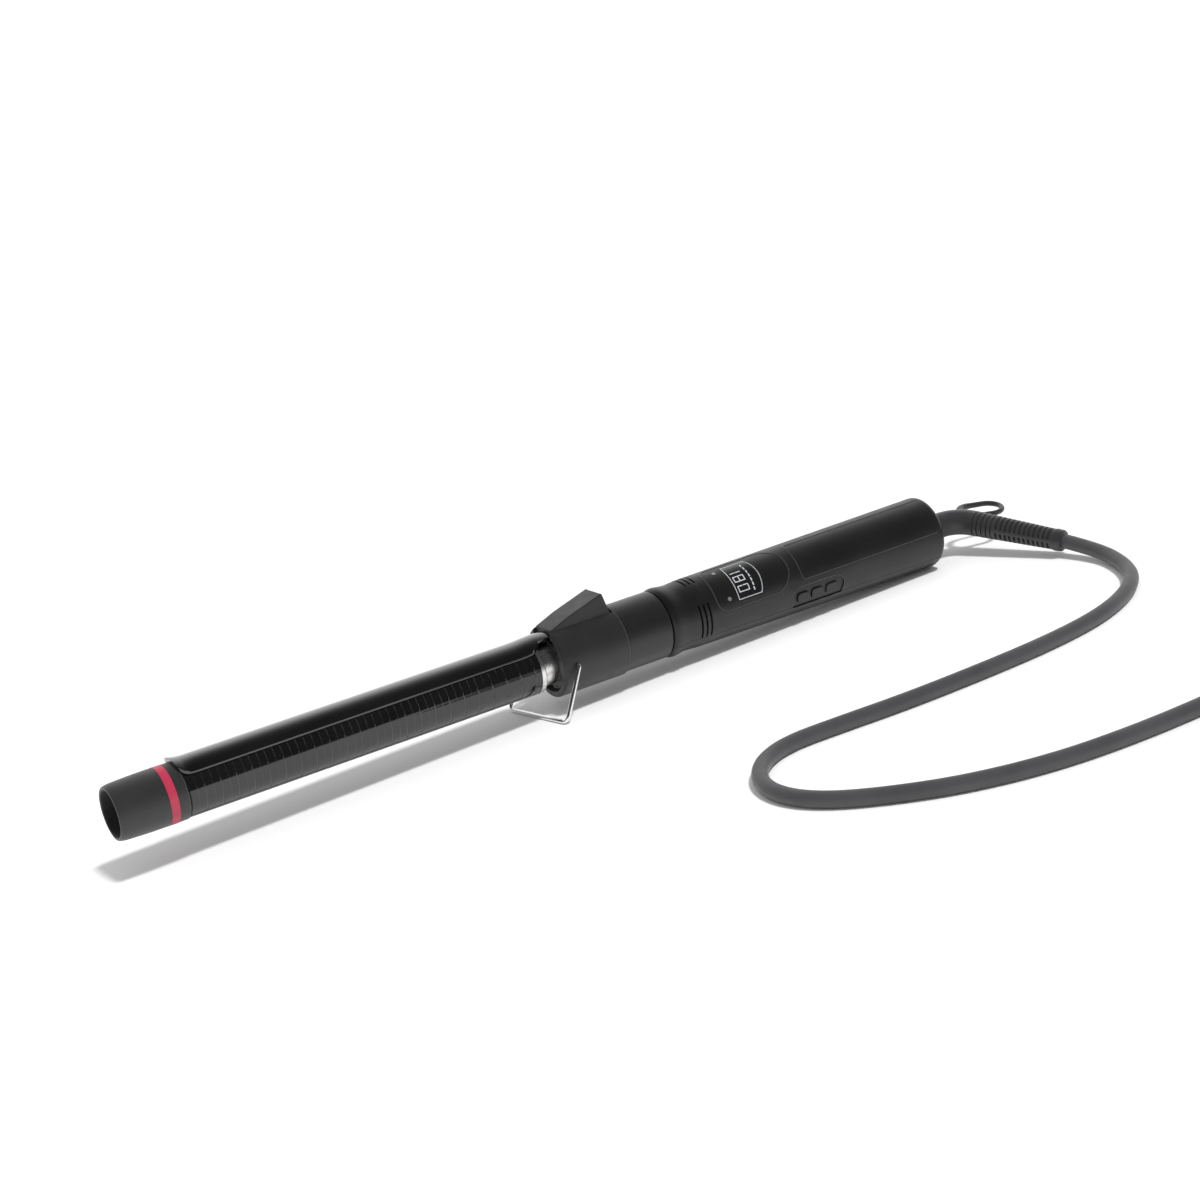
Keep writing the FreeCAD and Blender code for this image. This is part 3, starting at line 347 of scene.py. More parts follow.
def lit_segments(name, color, strength):
    """Pale liquid-crystal segments behind the window, given a faint painted glow."""
    material, tree, shader = new_material(name)
    place = place_of(tree)
    uneven = noise_of(tree, place, 900.0, 3.0)
    low = tuple(c * 0.7 for c in color)
    tree.links.new(ramp_of(tree, uneven, low, color), shader.inputs["Base Color"])
    shader.inputs["Roughness"].default_value = 0.35
    # Faint painted glow: nothing behind the segments lights them
    shader.inputs["Emission Color"].default_value = (*color, 1)
    shader.inputs["Emission Strength"].default_value = strength
    return material


# Dark and light tones, roughness, the grain's scale and depth in metres, the patches' scale, sheen
MOULDED = {
    "tip": ("tip_plastic", (0.016, 0.016, 0.017), (0.023, 0.023, 0.024),
            (0.5, 0.6), 1900, 0.00003, 60, 0.25),
    "band": ("band_plastic", (0.4, 0.024, 0.06), (0.46, 0.034, 0.074), (0.34, 0.46), 2200, 0.00001),
    "sleeve": ("sleeve_plastic", (0.012, 0.012, 0.0125), (0.017, 0.017, 0.0175),
               (0.44, 0.54), 2300, 0.00004, 60, 0.12),
    "neck": ("neck_plastic", (0.008, 0.008, 0.0085), (0.012, 0.012, 0.0125),
             (0.34, 0.44), 2400, 0.00002, 60, 0.12),
    "handle": ("soft_touch", (0.006, 0.006, 0.0065), (0.01, 0.01, 0.0105),
               (0.38, 0.48), 3000, 0.00002, 50, 0.04),
    "panel": ("panel_plastic", (0.006, 0.006, 0.0065), (0.009, 0.009, 0.0095),
              (0.34, 0.44), 3000, 0.00002, 50, 0.04),
    # The raised edges are paler than the handle as painted highlight
    "bead": ("edge_plastic", (0.05, 0.05, 0.052), (0.065, 0.065, 0.067), (0.3, 0.38), 2600, 0.00001),
    "pad": ("pad_plastic", (0.004, 0.004, 0.0045), (0.006, 0.006, 0.0065), (0.34, 0.44), 2600, 0.00002),
    "button": ("button_plastic", (0.009, 0.009, 0.0095), (0.014, 0.014, 0.0145),
               (0.34, 0.44), 2600, 0.00002),
    "ceramic": ("white_ceramic", (0.7, 0.68, 0.62), (0.82, 0.8, 0.75), (0.6, 0.75), 1800, 0.00006),
    "phenolic": ("phenolic", (0.05, 0.025, 0.015), (0.1, 0.05, 0.03), (0.4, 0.55), 1800, 0.00004),
    "board": ("board_mask", (0.01, 0.09, 0.03), (0.02, 0.16, 0.06), (0.25, 0.4), 1600, 0.00004, 400),
    "component": ("component_case", (0.03, 0.03, 0.035), (0.08, 0.08, 0.1),
                  (0.35, 0.5), 2000, 0.00003, 300),
    "cord": ("cord_sheath", (0.048, 0.048, 0.051), (0.064, 0.064, 0.067),
             (0.48, 0.58), 1500, 0.00005, 40, 0.08),
    "relief": ("relief_rubber", (0.026, 0.026, 0.028), (0.036, 0.036, 0.038),
               (0.38, 0.48), 1800, 0.00003, 60, 0.06),
    "plug": ("plug_plastic", (0.014, 0.014, 0.015), (0.02, 0.02, 0.021), (0.4, 0.52), 1800, 0.00004),
}

# Dark and light tones, roughness, the marks' scale, how they are stretched, their depth
METALS = {
    "ferrule": ("turned_steel", (0.76, 0.75, 0.73), (0.88, 0.87, 0.85),
                (0.22, 0.32), 1800, (1, 0.04, 0.04), 0.000006),
    "chrome": ("chrome_wire", (0.8, 0.8, 0.8), (0.92, 0.92, 0.92), (0.05, 0.1), 500, (1, 1, 1), 0.000002),
    "steel": ("zinc_steel", (0.42, 0.42, 0.42), (0.62, 0.62, 0.62), (0.25, 0.4), 1500),
    "spring": ("spring_steel", (0.22, 0.22, 0.23), (0.4, 0.4, 0.41), (0.3, 0.45), 1500),
    "aluminium": ("aluminium", (0.6, 0.6, 0.61), (0.78, 0.78, 0.79), (0.35, 0.5), 2000, (0.05, 1, 1)),
    "brass": ("brass", (0.62, 0.42, 0.14), (0.82, 0.6, 0.28), (0.25, 0.4), 1500),
    "nickel": ("nickel", (0.6, 0.58, 0.53), (0.78, 0.76, 0.7), (0.14, 0.26), 2200, (0.06, 1, 1)),
}

# Dark and light tones, roughness, clear coat
GLOSSY = {
    "clip": ("clip_enamel", (0.003, 0.003, 0.0035), (0.006, 0.006, 0.0065), 0.08, 0.5),
    "window": ("window_plastic", (0.006, 0.0065, 0.007), (0.011, 0.0115, 0.012), 0.08, 0.5),
    "lens": ("light_lens", (0.12, 0.115, 0.115), (0.19, 0.18, 0.18), 0.12, 0.6),
    # The window's raised edge is pale grey as painted highlight on its bevel
    "frame": ("window_edge_highlight", (0.34, 0.34, 0.35), (0.46, 0.46, 0.47), 0.16, 0.4),
}


def make_materials():
    """Every material of the iron, by its short name."""
    materials = {key: moulded(*row) for key, row in MOULDED.items()}
    materials.update({key: metal(*row) for key, row in METALS.items()})
    materials.update({key: glossy(*row) for key, row in GLOSSY.items()})
    materials["barrel"] = barrel_coating()
    materials["insulation"] = braided("glass_braid", (0.7, 0.68, 0.6))
    materials["tie"] = woven("strap_weave", (0.03, 0.03, 0.033), 900.0)
    materials["segment"] = lit_segments("pale_segments_painted_glow", (0.55, 0.57, 0.6), 0.1)
    return materials


# What each node of the CAD model is made of
MATERIAL_NODES = {
    "barrel": ["barrel_tube"],
    "board": ["button_board", "circuit_board"],
    "brass": ["contact_brushes", "slip_rings"],
    "aluminium": ["heater_clamp_lower", "heater_clamp_upper"],
    "band": ["tip_band"],
    "button": ["button_front", "button_middle", "button_rear"],
    "ceramic": ["heater_element", "temperature_sensor"],
    "chrome": ["wire_stand"],
    "clip": ["clip_spoon"],
    "component": ["lcd_module", "power_components", "tact_switches"],
    "cord": ["cord_coil", "cord_tail", "cord_tube"],
    "ferrule": ["barrel_ferrule"],
    "handle": ["handle_lower_shell", "handle_upper_shell"],
    "insulation": ["heater_leads", "supply_leads"],
    "lens": ["indicator_lights"],
    "neck": ["neck_sleeve"],
    "nickel": ["plug_pins"],
    "pad": ["button_pad"],
    "panel": ["display_panel", "rear_cover"],
    "phenolic": ["insulator_bush"],
    "plug": ["plug_body", "plug_boot"],
    "relief": ["hanging_loop", "strain_relief", "swivel_neck"],
    "sleeve": ["front_sleeve", "sleeve_face_ring", "swivel_socket", "thumb_lever"],
    "spring": ["torsion_spring"],
    "steel": ["clip_rivets", "hinge_pin", "retaining_ring", "shell_screws"],
    "tie": ["cord_tie"],
    "tip": ["cool_tip", "tip_collar"],
    "window": ["display_window"],
}


def give(piece, material):
    piece.data.materials.clear()
    piece.data.materials.append(material)


# ------------------------ mesh helpers

WIRE_SECTORS = 20


def new_piece(name, shape, material, body, smooth=True):
    """An object made from a shape's vertices and faces, riding on its body."""
    vertices, faces = shape
    mesh = bpy.data.meshes.new(name)
    mesh.from_pydata([tuple(v) for v in vertices], [], faces)
    mesh.validate()
    work = bmesh.new()
    work.from_mesh(mesh)
    bmesh.ops.recalc_face_normals(work, faces=work.faces)
    work.to_mesh(mesh)
    work.free()
    piece = new_object(name, mesh)
    for polygon in mesh.polygons:
        polygon.use_smooth = smooth
    give(piece, material)
    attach(piece, body)
    return piece


def lofted(rings, closed_way=False):
    """Vertices and faces through rings of equally many points, capped unless the way is closed."""
    count = len(rings[0])
    vertices = [point for ring in rings for point in ring]
    faces = []
    ring_pairs = list(zip(range(len(rings)), range(1, len(rings))))
    if closed_way:
        ring_pairs.append((len(rings) - 1, 0))
    for a, b in ring_pairs:
        for i in range(count):
            j = (i + 1) % count
            faces.append((a * count + i, a * count + j, b * count + j, b * count + i))
    if not closed_way:
        faces.append(tuple(range(count))[::-1])
        faces.append(tuple((len(rings) - 1) * count + i for i in range(count)))
    return vertices, faces


def crease(piece, width, segments=2, angle=35.0):
    """Rounds the sharp edges of a piece. The width is in metres."""
    bevel = piece.modifiers.new("round_edges", "BEVEL")
    bevel.width = width
    bevel.segments = segments
    bevel.limit_method = "ANGLE"
    bevel.angle_limit = math.radians(angle)


def ring_around(centre, first, second, radii):
    """Points round a centre, one for each radius, from the first direction towards the second."""
    count = len(radii)
    points = []
    for i, radius in enumerate(radii):
        angle = 2 * math.pi * i / count
        points.append(centre + (first * math.cos(angle) + second * math.sin(angle)) * radius)
    return points


def rounded_way(corners, radii, steps=10):
    """Points along straight runs joined by tangent arcs."""
    points = [corners[0]]
    for before, corner, after, radius in zip(corners, corners[1:], corners[2:], radii):
        back = (before - corner).normalized()
        ahead = (after - corner).normalized()
        half_turn = (math.pi - back.angle(ahead)) / 2
        trim = radius * math.tan(half_turn)
        centre = corner + (back + ahead).normalized() * radius / math.cos(half_turn)
        first = corner + back * trim - centre
        last = corner + ahead * trim - centre
        for step in range(steps + 1):
            share = step / steps
            blend = first * math.sin((1 - share) * 2 * half_turn) + last * math.sin(share * 2 * half_turn)
            points.append(centre + blend / math.sin(2 * half_turn))
    points.append(corners[-1])
    return points


def rings_along(points, first_side, radius, closed=False):
    """Round rings square to a path, turned as little as possible from one to the next."""
    rings = []
    side = first_side
    for i, point in enumerate(points):
        before, after = neighbours(points, i, closed)
        way = (after - before).normalized()
        side = (side - way * side.dot(way)).normalized()
        rings.append(ring_around(point, side, way.cross(side), [radius] * WIRE_SECTORS))
    return rings


# ------------------------ clip and stand

CLIP_EDGE_STEPS = 10
CLIP_MIDDLE_STEPS = 60
CLIP_ACROSS = 40
CLIP_LIFT = 0.85
CLIP_LIFT_END_X = 29.9
CLIP_ARM_RISE = 0.5
CLIP_RISE_RUN = 9.0
CLIP_ARM_LEVEL_X = 189.0
CLIP_EDGE_R = 0.00032
STAND_WIRE_R = 0.9
STAND_PIVOT_X = 196.0
STAND_PIVOT_Y = 16.7
STAND_END_Y = 13.8
STAND_NEAR_FOOT = (185.2, -18.0)
STAND_FAR_FOOT = (178.5, 20.5)
STAND_FOOT_Z = -21.15
STAND_BEND_R = (1.0, 3.0, 3.0, 1.0)
STAND_END_R = 0.0002


def clip_half_width(x):
    """The spoon's plan: rounded corners in front, rounded shoulders behind, then the arm."""
    front, rear = CLIP_CORNER_R
    if x < CLIP_X[0] + front:
        reach = CLIP_X[0] + front - x
        return CLIP_HALF_WIDTH - front + math.sqrt(max(front ** 2 - reach ** 2, 0.0))
    if x > CLIP_REAR_X - rear:
        reach = min(x - (CLIP_REAR_X - rear), rear)
        return max(CLIP_HALF_WIDTH - rear + math.sqrt(rear ** 2 - reach ** 2), CLIP_ARM_HALF_WIDTH)
    return CLIP_HALF_WIDTH


def clip_stations():
    """Stations along the spoon, close together where its outline turns."""
    front, rear = CLIP_CORNER_R
    stations = []
    for i in range(CLIP_EDGE_STEPS):
        stations.append(CLIP_X[0] + front * (1 - math.cos(math.pi / 2 * i / CLIP_EDGE_STEPS)))
    start = CLIP_X[0] + front
    end = CLIP_REAR_X - rear
    stations += [start + (end - start) * i / CLIP_MIDDLE_STEPS for i in range(CLIP_MIDDLE_STEPS)]
    for i in range(CLIP_EDGE_STEPS + 1):
        stations.append(end + rear * math.sin(math.pi / 2 * i / CLIP_EDGE_STEPS))
    return stations + [CLIP_ARM_LEVEL_X, CLIP_X[1]]


def add_clip_blade(materials):
    """Smooth enamelled spoon with rounded edges and a lifted lip, its arm rising to the lever."""
    rings = []
    for x in clip_stations():
        lift = CLIP_LIFT * max(CLIP_LIFT_END_X - x, 0.0) / (CLIP_LIFT_END_X - CLIP_X[0])
        lift += CLIP_ARM_RISE * min(max((x - CLIP_REAR_X) / CLIP_RISE_RUN + 1, 0.0), 1.0)
        inner = CLIP_INNER_R + lift
        outer = inner + CLIP_THICKNESS
        half = clip_half_width(x)
        ring = []
        for radius, direction in ((outer, 1), (inner, -1)):
            edge = math.asin(half / radius)
            for i in range(CLIP_ACROSS + 1):
                angle = direction * edge * (2 * i / CLIP_ACROSS - 1)
                ring.append(tool_point(x, radius * math.sin(angle), radius * math.cos(angle)))
        rings.append(ring)
    blade = new_piece("clip_blade", lofted(rings), materials["clip"], "clip")
    crease(blade, CLIP_EDGE_R, 4, 50.0)
    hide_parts("clip_spoon")


def add_stand_wire(materials):
    """The stand's bent chrome wire, its foot flat on the floor."""
    slope = -TOOL_X.z / TOOL_X.x
    far_z = STAND_FOOT_Z - (STAND_NEAR_FOOT[0] - STAND_FAR_FOOT[0]) * slope
    corners = [
        tool_point(STAND_PIVOT_X, -STAND_END_Y, 0),
        tool_point(STAND_PIVOT_X, -STAND_PIVOT_Y, 0),
        tool_point(*STAND_NEAR_FOOT, STAND_FOOT_Z),
        tool_point(*STAND_FAR_FOOT, far_z),
        tool_point(STAND_PIVOT_X, STAND_PIVOT_Y, 0),
        tool_point(STAND_PIVOT_X, STAND_END_Y, 0),
    ]
    points = rounded_way(corners, [radius * MM for radius in STAND_BEND_R])
    rings = rings_along(points, TOOL_X, STAND_WIRE_R * MM)
    wire = new_piece("stand_wire", lofted(rings), materials["chrome"], "stand")
    crease(wire, STAND_END_R, 3, 60.0)
    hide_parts("wire_stand")


# ------------------------ cord

# The cord's middle line, in metres: from the boot down to the floor, over the floor, and out of the coil
CORD_START = [Vector((0.4246, -0.0505, 0.0070)), Vector((0.4283, -0.0680, 0.0044))]
CORD_HEIGHT = 0.00325
CORD_RUN = [
    (0.4235, -0.0885), (0.4125, -0.1065), (0.3940, -0.1200), (0.3700, -0.1290), (0.3400, -0.1324),
    (0.3060, -0.1322), (0.2720, -0.1304), (0.2440, -0.1266), (0.2200, -0.1240), (0.2034, -0.1308),
    (0.1926, -0.1448), (0.1898, -0.1624), (0.1963, -0.1795), (0.2130, -0.1963), (0.2360, -0.2125),
    (0.2660, -0.2245), (0.3000, -0.2300), (0.3360, -0.2316), (0.3720, -0.2304),
]
CORD_TAIL = [
    (0.3740, -0.3294, 0.0100), (0.3600, -0.3300, 0.0088),
    (0.3460, -0.3300, 0.0073), (0.3340, -0.3300, 0.0072),
]

# The coil, also in metres
COIL_CENTRE = Vector((0.3820, -0.2800, 0.0))
COIL_OUTER_R = 0.0500
COIL_PITCH = 0.0068
COIL_TURNS_A_LAYER = 3.5
COIL_CLIMB_TURNS = 0.5
COIL_HEIGHTS = (0.0036, 0.0101)
COIL_POINTS_A_TURN = 16


def coil_points():
    """Clockwise from the far side: inwards on the floor, up half a turn, and outwards on top of itself."""
    inner = COIL_OUTER_R - COIL_PITCH * COIL_TURNS_A_LAYER
    up = COIL_TURNS_A_LAYER + COIL_CLIMB_TURNS
    turns = 2 * COIL_TURNS_A_LAYER + COIL_CLIMB_TURNS
    points = []
    for step in range(1, int(turns * COIL_POINTS_A_TURN)):
        turn = step / COIL_POINTS_A_TURN
        angle = math.radians(90.0 - 360.0 * turn)
        climb = min(max((turn - COIL_TURNS_A_LAYER) / COIL_CLIMB_TURNS, 0.0), 1.0)
        height = COIL_HEIGHTS[0] + (COIL_HEIGHTS[1] - COIL_HEIGHTS[0]) * climb
        radius = inner + COIL_PITCH * max(COIL_TURNS_A_LAYER - turn, turn - up, 0.0)
        radius /= math.cos(math.pi / COIL_POINTS_A_TURN)
        points.append(COIL_CENTRE + Vector((radius * math.cos(angle), radius * math.sin(angle), height)))
    return points


def add_cord(materials):
    """The whole cord as one smooth curve, from the boot through the coil to the plug."""
    points = CORD_START + [Vector((x, y, CORD_HEIGHT)) for x, y in CORD_RUN]
    points += coil_points() + [Vector(point) for point in CORD_TAIL]
    curve = bpy.data.curves.new("power_cord", "CURVE")
    curve.dimensions = "3D"
    spline = curve.splines.new("NURBS")
    spline.points.add(len(points) - 1)
    for target, point in zip(spline.points, points):
        target.co = (*(point + FRAME_SHIFT), 1.0)
    spline.order_u = 3
    spline.use_endpoint_u = True
    spline.resolution_u = 8
    curve.bevel_depth = CORD_D / 2 * MM
    curve.bevel_resolution = 7
    curve.use_fill_caps = True
    cord = new_object("power_cord", curve)
    give(cord, materials["cord"])
    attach(cord, "cord_swivel")
    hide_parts("cord_tube", "cord_coil", "cord_tail")
    return cord


# ------------------------ strain relief

RELIEF_RIBS = 17
RELIEF_FULL_SLOTS = 5
RELIEF_SECTORS = 72
RELIEF_SPINE_ANGLE = 9.0
RELIEF_SPINE_TURN = 2.0
RELIEF_END_R = 4.55
RELIEF_LEAD_IN = 1.2
RELIEF_COLLAR = 4.2

# How deep the slots are at the boot's start and at its end
RELIEF_SLOT_DEPTHS = (1.55, 1.0)

# How much of a rib's pitch a slot takes
FULL_SLOT_SHARE = 0.26
SIDE_SLOT_SHARE = 0.5

# Across a slot: the share of its width, and the share of its depth there
SLOT_PROFILE = ((0.0, 0.0), (0.13, 0.75), (0.22, 1.0), (0.78, 1.0), (0.87, 0.75), (1.0, 0.0))

# Along the collar: the place from its start, and the cut, which is negative where it swells
COLLAR_PROFILE = ((0.1, 0.0), (0.25, -0.22), (0.55, -0.3), (3.5, -0.22))

# Round the boot's mouth: the place before its end, and the radius
MOUTH_PROFILE = ((0.35, 4.55), (0.1, 4.3), (0.0, 3.9), (0.02, CORD_HOLE_R))


def relief_axis():
    """Where the boot starts and ends, and its directions: along, sideways and up."""
    corner = tool_point(NECK_TURN_X, 0, 0)
    end = CORD_START[0] + FRAME_SHIFT
    way = (end - corner).normalized()
    start = corner + way * NECK_TRIM * MM
    side = way.cross(Vector((0, 0, 1))).normalized()
    return start, end, way, side, side.cross(way)


def relief_stations(length):
    """Stations along the boot: the place, the cut into it there, and whether the side spines stay whole."""
    pitch = (length - RELIEF_LEAD_IN - RELIEF_COLLAR) / RELIEF_RIBS
    stations = [(0.0, 0.0, False), (RELIEF_LEAD_IN * 0.6, 0.0, False)]
    first_depth, last_depth = RELIEF_SLOT_DEPTHS
    for rib in range(RELIEF_RIBS):
        full = rib < RELIEF_FULL_SLOTS
        width = pitch * (FULL_SLOT_SHARE if full else SIDE_SLOT_SHARE)
        for share, deep in SLOT_PROFILE:
            s = RELIEF_LEAD_IN + rib * pitch + share * width
            depth = first_depth + (last_depth - first_depth) * s / length
            stations.append((s, deep * depth, not full))
    return stations + [(length - RELIEF_COLLAR + s, cut, False) for s, cut in COLLAR_PROFILE]


def on_spine(sector):
    """Whether a sector of the boot lies on one of its two side spines."""
    around = (2 * math.pi * sector / RELIEF_SECTORS - math.radians(RELIEF_SPINE_TURN)) % math.pi
    return min(around, math.pi - around) < math.radians(RELIEF_SPINE_ANGLE)


def add_strain_relief(materials):
    """Ribbed boot: slots all round, then slots above and below two side spines, then a collar."""
    start, end, way, side, up = relief_axis()
    length = (end - start).length / MM
    rings = []
    for s, cut, spined in relief_stations(length):
        outer = NECK_R - (NECK_R - RELIEF_END_R) * s / length
        radii = []
        for sector in range(RELIEF_SECTORS):
            depth = 0.0 if spined and on_spine(sector) else cut
            radii.append((outer - depth) * MM)
        rings.append(ring_around(start + way * s * MM, side, up, radii))
    for before_end, radius in MOUTH_PROFILE:
        middle = start + way * (length - before_end) * MM
        rings.append(ring_around(middle, side, up, [radius * MM] * RELIEF_SECTORS))
    boot = new_piece("relief_boot", lofted(rings), materials["relief"], "cord_swivel",
                     smooth=False)
    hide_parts("strain_relief")


# ------------------------ display

# The window's front and rear places, its half width, and how far its rear edge bows out
WINDOW = (277.2, 289.2, 8.5, 2.0)
WINDOW_STEPS = 14
BEZEL_WIDTH = 0.42
BEZEL_HEIGHTS = (-0.1, 0.2)
BEZEL_EDGE_R = 0.00008
DIGITS = ("1", "8", "0")
SEGMENTS = {"0": "abcdef", "1": "bc", "8": "abcdefg"}
DIGIT_LENGTH = 5.4
DIGIT_WIDTH = 2.9
DIGIT_PITCH = 4.6
DIGIT_X = 278.6
SEGMENT_WIDTH = 0.42
SEGMENT_GAP = 0.12
SEGMENT_LIFT = 0.08
SEGMENT_THICKNESS = 0.08
SCALE_BARS = 7
SCALE_PITCH = 2.05
SCALE_BAR = (0.55, 1.5)
SCALE_X = 285.3
SCALE_BOW = 0.9
SCALE_BOW_TURN = 19.2
STRIP_STEPS = 6


def segment_strip(corners):
    """A thin solid quad over the window's round surface. Its corners are (x, angle) in order."""
    (xa, aa), (xb, ab), (xc, ac), (xd, ad) = corners
    low = SEGMENT_LIFT
    high = SEGMENT_LIFT + SEGMENT_THICKNESS
    rings = []
    for i in range(STRIP_STEPS + 1):
        share = i / STRIP_STEPS
        x0 = xa + (xb - xa) * share
        a0 = aa + (ab - aa) * share
        x1 = xd + (xc - xd) * share
        a1 = ad + (ac - ad) * share
        rings.append([on_handle(x0, a0, high), on_handle(x1, a1, high), on_handle(x1, a1, low),
                      on_handle(x0, a0, low)])
    return lofted(rings)


def joined_parts(parts):
    """Several shapes as one."""
    vertices = []
    faces = []
    for part_vertices, part_faces in parts:
        start = len(vertices)
        vertices += part_vertices
        faces += [tuple(i + start for i in face) for face in part_faces]
    return vertices, faces


def segment_corners(letter, x, angle):
    """One bar of a digit. The digit's top faces the rear end, and its width lies around the handle."""
    around = turn_per_mm(x)
    half = DIGIT_WIDTH / 2 * around
    bar = SEGMENT_WIDTH * around
    inset = half - SEGMENT_GAP * around
    middle = x + DIGIT_LENGTH / 2
    top = x + DIGIT_LENGTH
    across = {"d": x, "g": middle - SEGMENT_WIDTH / 2, "a": top - SEGMENT_WIDTH}
    if letter in across:
        x0 = across[letter]
        x1 = x0 + SEGMENT_WIDTH
        return [(x0, angle - inset), (x0, angle + inset), (x1, angle + inset), (x1, angle - inset)]
    low, high = (x, middle) if letter in "ec" else (middle, top)
    low += SEGMENT_GAP
    high -= SEGMENT_GAP
    side = angle - half if letter in "ef" else angle + half - bar
    return [(low, side), (high, side), (high, side + bar), (low, side + bar)]


def scale_bar_corners(place, around):
    """One bar of the curved scale behind the digits, counted from the middle one."""
    length, width = SCALE_BAR
    start = SCALE_X + SCALE_BOW * math.cos(math.radians(SCALE_BOW_TURN * place))
    low = (SCALE_PITCH * place - width / 2) * around
    high = (SCALE_PITCH * place + width / 2) * around
    return [(start, low), (start, high), (start + length, high), (start + length, low)]


def add_display_segments(materials):
    """Three digits and a curved scale, pale on the dark window."""
    around = turn_per_mm((WINDOW[0] + WINDOW[1]) / 2)
    parts = []
    for place, digit in enumerate(DIGITS):
        angle = (place - 1) * DIGIT_PITCH * around
        parts += [segment_strip(segment_corners(letter, DIGIT_X, angle)) for letter in SEGMENTS[digit]]
    for place in range(SCALE_BARS):
        parts.append(segment_strip(scale_bar_corners(place - SCALE_BARS // 2, around)))
    new_piece("display_segments", joined_parts(parts), materials["segment"], "iron",
              smooth=False)


def add_window_bezel(materials):
    """Raised line round the window, along its straight front edge and back over the bowed one, coloured pale
    as painted highlight on its edge.
    """
    x0, x1, half, bulge = WINDOW
    middle_x = (x0 + x1) / 2
    around = turn_per_mm(middle_x)
    edge = arc_angle(half, middle_x)
    angles = [-edge + 2 * edge * i / WINDOW_STEPS for i in range(WINDOW_STEPS + 1)]
    outline = [(x0, angle) for angle in angles]
    outline += [(x1 + bulge * (1 - (angle / edge) ** 2), angle) for angle in reversed(angles)]
    low, high = BEZEL_HEIGHTS
    rings = []
    for x, angle in outline:
        inner_x = x - BEZEL_WIDTH if x > middle_x else x + BEZEL_WIDTH
        at_side = abs(angle) > edge - 0.5
        inner_angle = angle - math.copysign(BEZEL_WIDTH * around, angle) if at_side else angle
        rings.append([on_handle(x, angle, low), on_handle(x, angle, high),
                      on_handle(inner_x, inner_angle, high), on_handle(inner_x, inner_angle, low)])
    bezel = new_piece("window_bezel", lofted(rings, closed_way=True), materials["frame"], "iron",
                      smooth=False)
    crease(bezel, BEZEL_EDGE_R)


# ------------------------ hanging loop, strap and plug

# The loop's middle in metres, and its sizes in millimetres
LOOP_CENTRE = Vector((0.4206, -0.0004, 0.0158))
LOOP_RUN = 6.2
LOOP_R = 6.6
LOOP_WIRE_R = 1.2
LOOP_NORMAL = Vector((0.05, -0.14, 1.0))
LOOP_YAW = -18.0

# How much thicker the loop is where it grows from the neck, and how far from its middle that starts
LOOP_ROOT = 0.5
LOOP_ROOT_X = 2.0
LOOP_CORNER_STEPS = 12
CORNER_STEPS = 8


def plan_corner(x, y, radius, start, steps=CORNER_STEPS):
    """Points round a quarter circle in a plan, anticlockwise from an angle."""
    angles = [math.radians(start + 90 * i / steps) for i in range(steps + 1)]
    return [(x + radius * math.cos(angle), y + radius * math.sin(angle)) for angle in angles]


def plan_corners(*corners):
    """The points of several such quarter circles, one after another."""
    return [point for corner in corners for point in plan_corner(*corner)]


def add_hang_loop(materials):
    """Oval moulded ring, thicker where it grows from the neck."""
    turn = Vector((0, 0, 1)).rotation_difference(LOOP_NORMAL) @ Quaternion((0, 0, 1), math.radians(LOOP_YAW))
    half = LOOP_RUN / 2
    plan = []
    for end, start in ((half, -90), (-half, 90)):
        plan += plan_corner(end, 0, LOOP_R, start, LOOP_CORNER_STEPS)[:-1]
        plan += plan_corner(end, 0, LOOP_R, start + 90, LOOP_CORNER_STEPS)
    middle = LOOP_CENTRE + FRAME_SHIFT
    points = [middle + turn @ Vector((x, y, 0)) * MM for x, y in plan]
    rings = rings_along(points, turn @ Vector((0, 0, 1)), LOOP_WIRE_R * MM, closed=True)
    for i, (x, y) in enumerate(plan):
        grow = 1 + LOOP_ROOT * min(max(-x - LOOP_ROOT_X, 0.0) / LOOP_R, 1.0)
        rings[i] = [points[i] + (point - points[i]) * grow for point in rings[i]]
    loop = new_piece("hang_loop", lofted(rings, closed_way=True), materials["relief"], "cord_swivel")
    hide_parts("hanging_loop")


# The strap's section: across it, and out from its middle, with a raised edge along each side
STRAP_SECTION = [(-4.5, -0.35), (-4.5, 0.35), (-4.1, 0.5), (-3.7, 0.35),
                 (3.7, 0.35), (4.1, 0.5), (4.5, 0.35), (4.5, -0.35)]
STRAP_RADII = (22.6, 53.7)
STRAP_HEIGHTS = (0.55, 13.8)
STRAP_BEND_R = 3.4
STRAP_EDGE_R = 0.00012

# The lap lies outside the strap: up its outer side from a rounded end, then back over its top
STRAP_LAP = 0.8
LAP_HEIGHTS = (3.4, 3.7, 4.6, 6.4)
LAP_END_WIDTHS = [0.62, 0.82, 0.96]
LAP_TOP = ((46.0, 0.8), (42.0, 0.8), (38.5, 0.45))


def strap_rings(path, widths, closed):
    """The strap's section carried along a path of (radius, height) about the coil's centre."""
    rings = []
    for i, (radius, height) in enumerate(path):
        before, after = neighbours(path, i, closed)
        way = Vector((after[0] - before[0], 0, after[1] - before[1])).normalized()
        outwards = Vector((way.z, 0, -way.x))
        middle = COIL_CENTRE + FRAME_SHIFT + Vector((radius, 0, height)) * MM
        section = [Vector((0, y * widths[i], 0)) + outwards * out for y, out in STRAP_SECTION]
        rings.append([middle + point * MM for point in section])
    return rings


